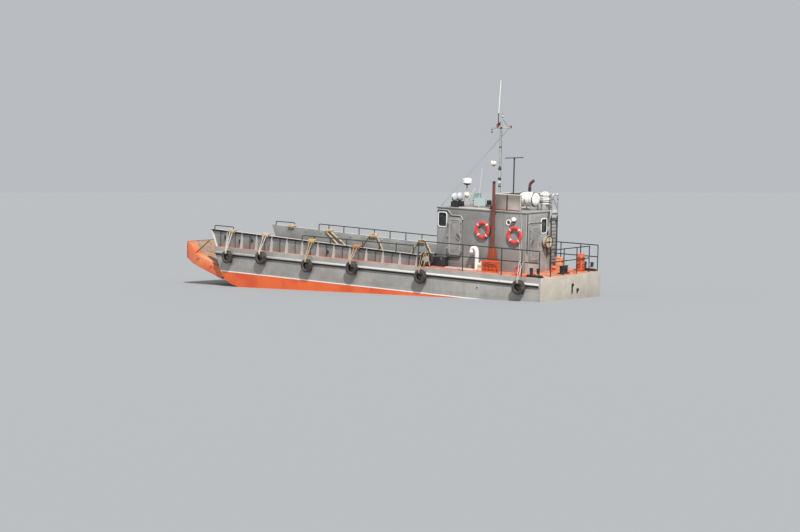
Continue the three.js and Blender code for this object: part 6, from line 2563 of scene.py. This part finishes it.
@dataclass
class DeckGear:
    """Bitts, lockers, boxes and crates on the deck, and the helm console inside.

    Attributes:
        bitts: distance forward of the transom and Y of the port bitts.
        hatches: distance forward of the transom and Y of each flush hatch.
    """

    bitts: tuple[float, float] = (0.44, 1.98)
    hatches: Outline = ((0.62, -0.75), (0.95, 1.32), (4.2, -1.75), (6.0, -1.55))

    def mooring(self) -> None:
        """Builds both pairs of bitts."""
        post = [(0, 0.01), (0.07, 0.01), (0.062, 0.04), (0.058, 0.2), (0.063, 0.31), (0.078, 0.33),
                (0.078, 0.343), (0.066, 0.35), (0, 0.353)]
        for side, word in SIDES:
            shape = Shape("black")
            x, y = station(self.bitts[0]), side * self.bitts[1]
            shape.pad(x, y, 0.37, 0.115, DECK + 0.001, DECK + 0.02, "black", 0.005)
            shape.pad(x, y, 0.34, 0.1, DECK + 0.01, DECK + 0.09, "black", 0.035)
            for shift in (-0.165, 0.165):
                shape.lathe(post, (x + shift, y, DECK), UP, "black", 36)
                shape.bar((x + shift, y - 0.115, DECK + 0.24), (x + shift, y + 0.115, DECK + 0.24), 0.017,
                          "black")
            turns = coil((x - 0.165, y, DECK + 0.1), "Z", 0.082, 3.0, 0.055)
            KIT.add(shape, "rope", "rope_tan", [turns], Radius=0.014)
            for a in (-0.33, 0.33):
                for b in (-0.085, 0.085):
                    shape.disc((x + a, y + b, DECK), UP, 0.013, 0.018, 0.032, "black", 8)
            publish(f"bitts_{word}_posts", shape, (f"bitts_{word}",))

    def stern_boxes(self) -> None:
        """Builds the stern locker with its round ports and the lidded box beside it."""
        shape = Shape("orange")
        x, y = station(0.6), -1.62
        shape.pad(x, y, 0.127, 0.127, DECK + 0.002, DECK + 0.68, "orange", 0.02)
        shape.pad(x, y, 0.13, 0.13, DECK + 0.665, DECK + 0.69, "orange", 0.006)
        for rise in (0.21, 0.49):
            for place, axis in (((x - 0.127, y), AFT), ((x, y + 0.127), PORT)):
                shape.band((*place, DECK + rise), axis, 0.055, 0.08, 0.0, 0.016, "ramp_lip")
                shape.disc((*place, DECK + rise), axis, 0.056, 0.0, 0.006, "orange")
        publish("stern_locker_box", shape, ("stern_locker",))
        shape = Shape("orange")
        x, y = station(1.2), -0.96
        shape.pad(x, y, 0.125, 0.115, DECK + 0.002, DECK + 0.495, "box_orange", 0.012)
        shape.pad(x, y, 0.14, 0.13, DECK + 0.49, DECK + 0.55, "box_orange", 0.015)
        for low, high in ((0.07, 0.24), (0.27, 0.44)):
            panel = (y - 0.09, y + 0.09, DECK + low, DECK + high)
            shape.rim(panel, 0.015, (0.02, 0.01), "X", x - 0.132, x - 0.122, "box_orange", 0.003)
        handle = [(x - a, y + b, DECK + 0.38) for a,
                  b in ((0.12, -0.04), (0.15, -0.04), (0.15, 0.04), (0.12, 0.04))]
        shape.sweep(handle, 0.008, "black", 8, 0.02)
        publish("stern_box_case", shape, ("stern_box",))

    def crate(self) -> None:
        """Builds the open plastic crate with its slats, and the can beside its end."""
        shape = Shape("crate_orange")
        x, y = station(2.79), 1.62
        a, b = 0.33, 0.165
        size = {"Height": 0.41, "Spacing": 0.062}
        z = DECK + 0.215
        rows = [[(x - a + 0.03, y + c, z), (x + a - 0.02, y + c, z)] for c in (0.008 - b, b - 0.008)]
        KIT.add(shape, "slat", "crate_orange", rows, Length=0.026, Depth=0.014, **size)
        ends = [[(x + c, y - b + 0.04, z), (x + c, y + b - 0.03, z)] for c in (0.008 - a, a - 0.008)]
        KIT.add(shape, "slat", "crate_orange", ends, Length=0.014, Depth=0.026, **size)
        for rise, depth in ((0.002, 0.05), (0.14, 0.028), (0.27, 0.028), (0.4, 0.05)):
            grow = 0.014 if rise > 0.35 else 0.0
            area = (x - a - grow, x + a + grow, y - b - grow, y + b + grow)
            shape.rim(area, 0.014 + grow, (0.03, 0.02), "Z", DECK + rise, DECK + rise + depth, "crate_orange",
                      0.003)
        shape.box((x - a + 0.01, y - b + 0.01, DECK + 0.002), (x + a - 0.01, y + b - 0.01, DECK + 0.03),
                  "crate_orange", 0.004)
        shape.box((x - 0.27, y - 0.1, DECK + 0.03), (x + 0.05, y + 0.1, DECK + 0.36), "rope_brown", 0.05)
        shape.box((x + 0.08, y - 0.11, DECK + 0.03), (x + 0.27, y + 0.12, DECK + 0.33), "cover_navy", 0.04)
        publish("tool_crate_slats", shape, ("tool_crate",))
        shape = Shape("can_cream")
        x = station(3.27)
        can = rounded_rectangle(x - 0.13, x + 0.13, y - 0.08, y + 0.1, 0.03)
        shape.prism(can, "Z", DECK + 0.002, DECK + 0.33, "can_cream", 0.012)
        handle = [(x + a, y, DECK + rise) for a,
                  rise in ((-0.08, 0.32), (-0.08, 0.375), (0.03, 0.375), (0.03, 0.32))]
        shape.sweep(handle, 0.012, "can_cream", 10, 0.03)
        shape.disc((x + 0.085, y, DECK), UP, 0.025, 0.325, 0.355, "black")
        publish("fuel_can", shape)

    def locker(self) -> None:
        """Builds the black locker and the planks on the side deck."""
        shape = Shape("black")
        x, y = station(5.6), 1.37
        shape.pad(x, y, 0.39, 0.15, DECK + 0.002, DECK + 0.348, "black", 0.012)
        shape.pad(x, y, 0.405, 0.16, DECK + 0.345, DECK + 0.385, "black", 0.012)
        for shift in (-0.25, 0.25):
            shape.box((x + shift - 0.02, y + 0.148, DECK + 0.28), (x + shift + 0.02, y + 0.168, DECK + 0.37),
                      "galvanised", 0.003)
        publish("black_locker_case", shape, ("black_locker",))
        shape = Shape("pale_board")
        for i in range(3):
            start = Vector((station(4.98) + 0.06 * i, 1.76 - 0.125 * i))
            end = start + Vector((-1.34, -0.03))
            outline = [(p.x, p.y + c) for p,
                       c in ((start, -0.055), (start, 0.055), (end, 0.055), (end, -0.055))]
            shape.prism(outline, "Z", DECK + 0.002, DECK + 0.03, "pale_board", 0.004)
        publish("deck_planks", shape)

    def flush_gear(self) -> None:
        """Builds the flush hatches, mushroom vent, stanchion and small bitts of the aft deck."""
        shape = Shape("orange")
        lid = [(0, 0), (0.26, 0), (0.26, 0.022), (0.235, 0.03), (0.225, 0.02), (0.21, 0.034), (0, 0.04)]
        for forward, y in self.hatches:
            x = station(forward)
            shape.lathe(lid, (x, y, DECK), UP, "orange", 44)
            shape.bar((x - 0.07, y, DECK + 0.05), (x + 0.07, y, DECK + 0.05), 0.009, "black", 10)
            for end in (-0.07, 0.07):
                shape.post(x + end, y, DECK + 0.03, DECK + 0.055, 0.009, "black", 8)
        vent = [(0, 0), (0.06, 0), (0.06, 0.16), (0.12, 0.17), (0.125, 0.2), (0.08, 0.24), (0, 0.255)]
        shape.lathe(vent, (station(1.05), -0.3, DECK), UP, "orange", 36)
        for shift in (0.0, 0.045):
            shape.ring((station(1.4) - shift, 1.78 + shift, DECK + 0.165), (0.3, 1, 0.1), 0.13, 0.022,
                       "ring_red", 32)
        shape.disc((station(0.86), 1.55, DECK), UP, 0.048, 0.0, 0.24, "ring_red")
        shape.box((station(0.3), -0.36, DECK), (station(0.52), 0.24, DECK + 0.05), "black", 0.015)
        for y in (-0.25, -0.06, 0.13):
            shape.disc((station(0.41), y, DECK), UP, 0.06, 0.01, 0.32, "black")
            shape.disc((station(0.41), y, DECK), UP, 0.078, 0.29, 0.33, "black")
        publish("deck_hatches", shape)

    def console(self) -> None:
        """Builds the helm console with its wheel."""
        shape = refined("helm_console", 0.015, "house_pale")
        x, y, z = station(5.33) - 0.05, -0.3, DECK + 0.87
        shape.disc((x + 0.14, y, z), (-1, 0, 0.1), 0.03, 0.0, 0.14, "black", 16)
        shape.ring((x, y, z), (-1, 0, 0.1), 0.23, 0.014, "black", 44)
        for tip in coil((x, y, z), "X", 0.225, 0.8, 0.0, 5):
            shape.bar((x, y, z), tip, 0.009, "black", 8)
        for i in range(6):
            shape.bar((x + 0.17, -0.62 + 0.12 * i, z + 0.15), (x + 0.15, -0.62 + 0.12 * i, z + 0.23), 0.03,
                      "black", 16)
        publish("helm_console_case", shape, ("helm_console",))

    def build(self) -> None:
        """Builds the deck's gear."""
        self.mooring()
        self.stern_boxes()
        self.crate()
        self.locker()
        self.flush_gear()
        self.console()


@dataclass
class SternGear:
    """Propellers and rudders, each on its own body."""

    def build(self) -> None:
        """Builds both sides."""
        for _, word in SIDES:
            node = f"propeller_{word}"
            shape = refined(node, 0.0025, "bronze")
            publish(node + "_blades", shape, (node,), body=node, crease=50)
            node = f"rudder_{word}"
            low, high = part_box(node)
            shape = refined(node, 0.006, "hull_red")
            for y in (low.y, high.y):
                for share in (0.3, 0.6):
                    z = low.z + (high.z - low.z) * share
                    shape.box((low.x + 0.035, y - 0.004, z), (low.x + 0.24, y + 0.004, z + 0.02), "hull_red",
                              0.002)
            publish(node + "_blade", shape, (node,), body=node)


def main() -> None:
    """Builds the scene."""
    logging.basicConfig(level=logging.INFO, format="%(message)s")
    Studio().build()
    coamings = Coamings()
    Hull().build()
    Strakes().build()
    coamings.build()
    Rails(coamings).build()
    Ramp().build()
    Fenders(coamings).build()
    Wheelhouse().build()
    Doors().build()
    HouseSides().build()
    RoofGear().build()
    Mast().build()
    DeckGear().build()
    SternGear().build()


if __name__ == "__main__":
    main()
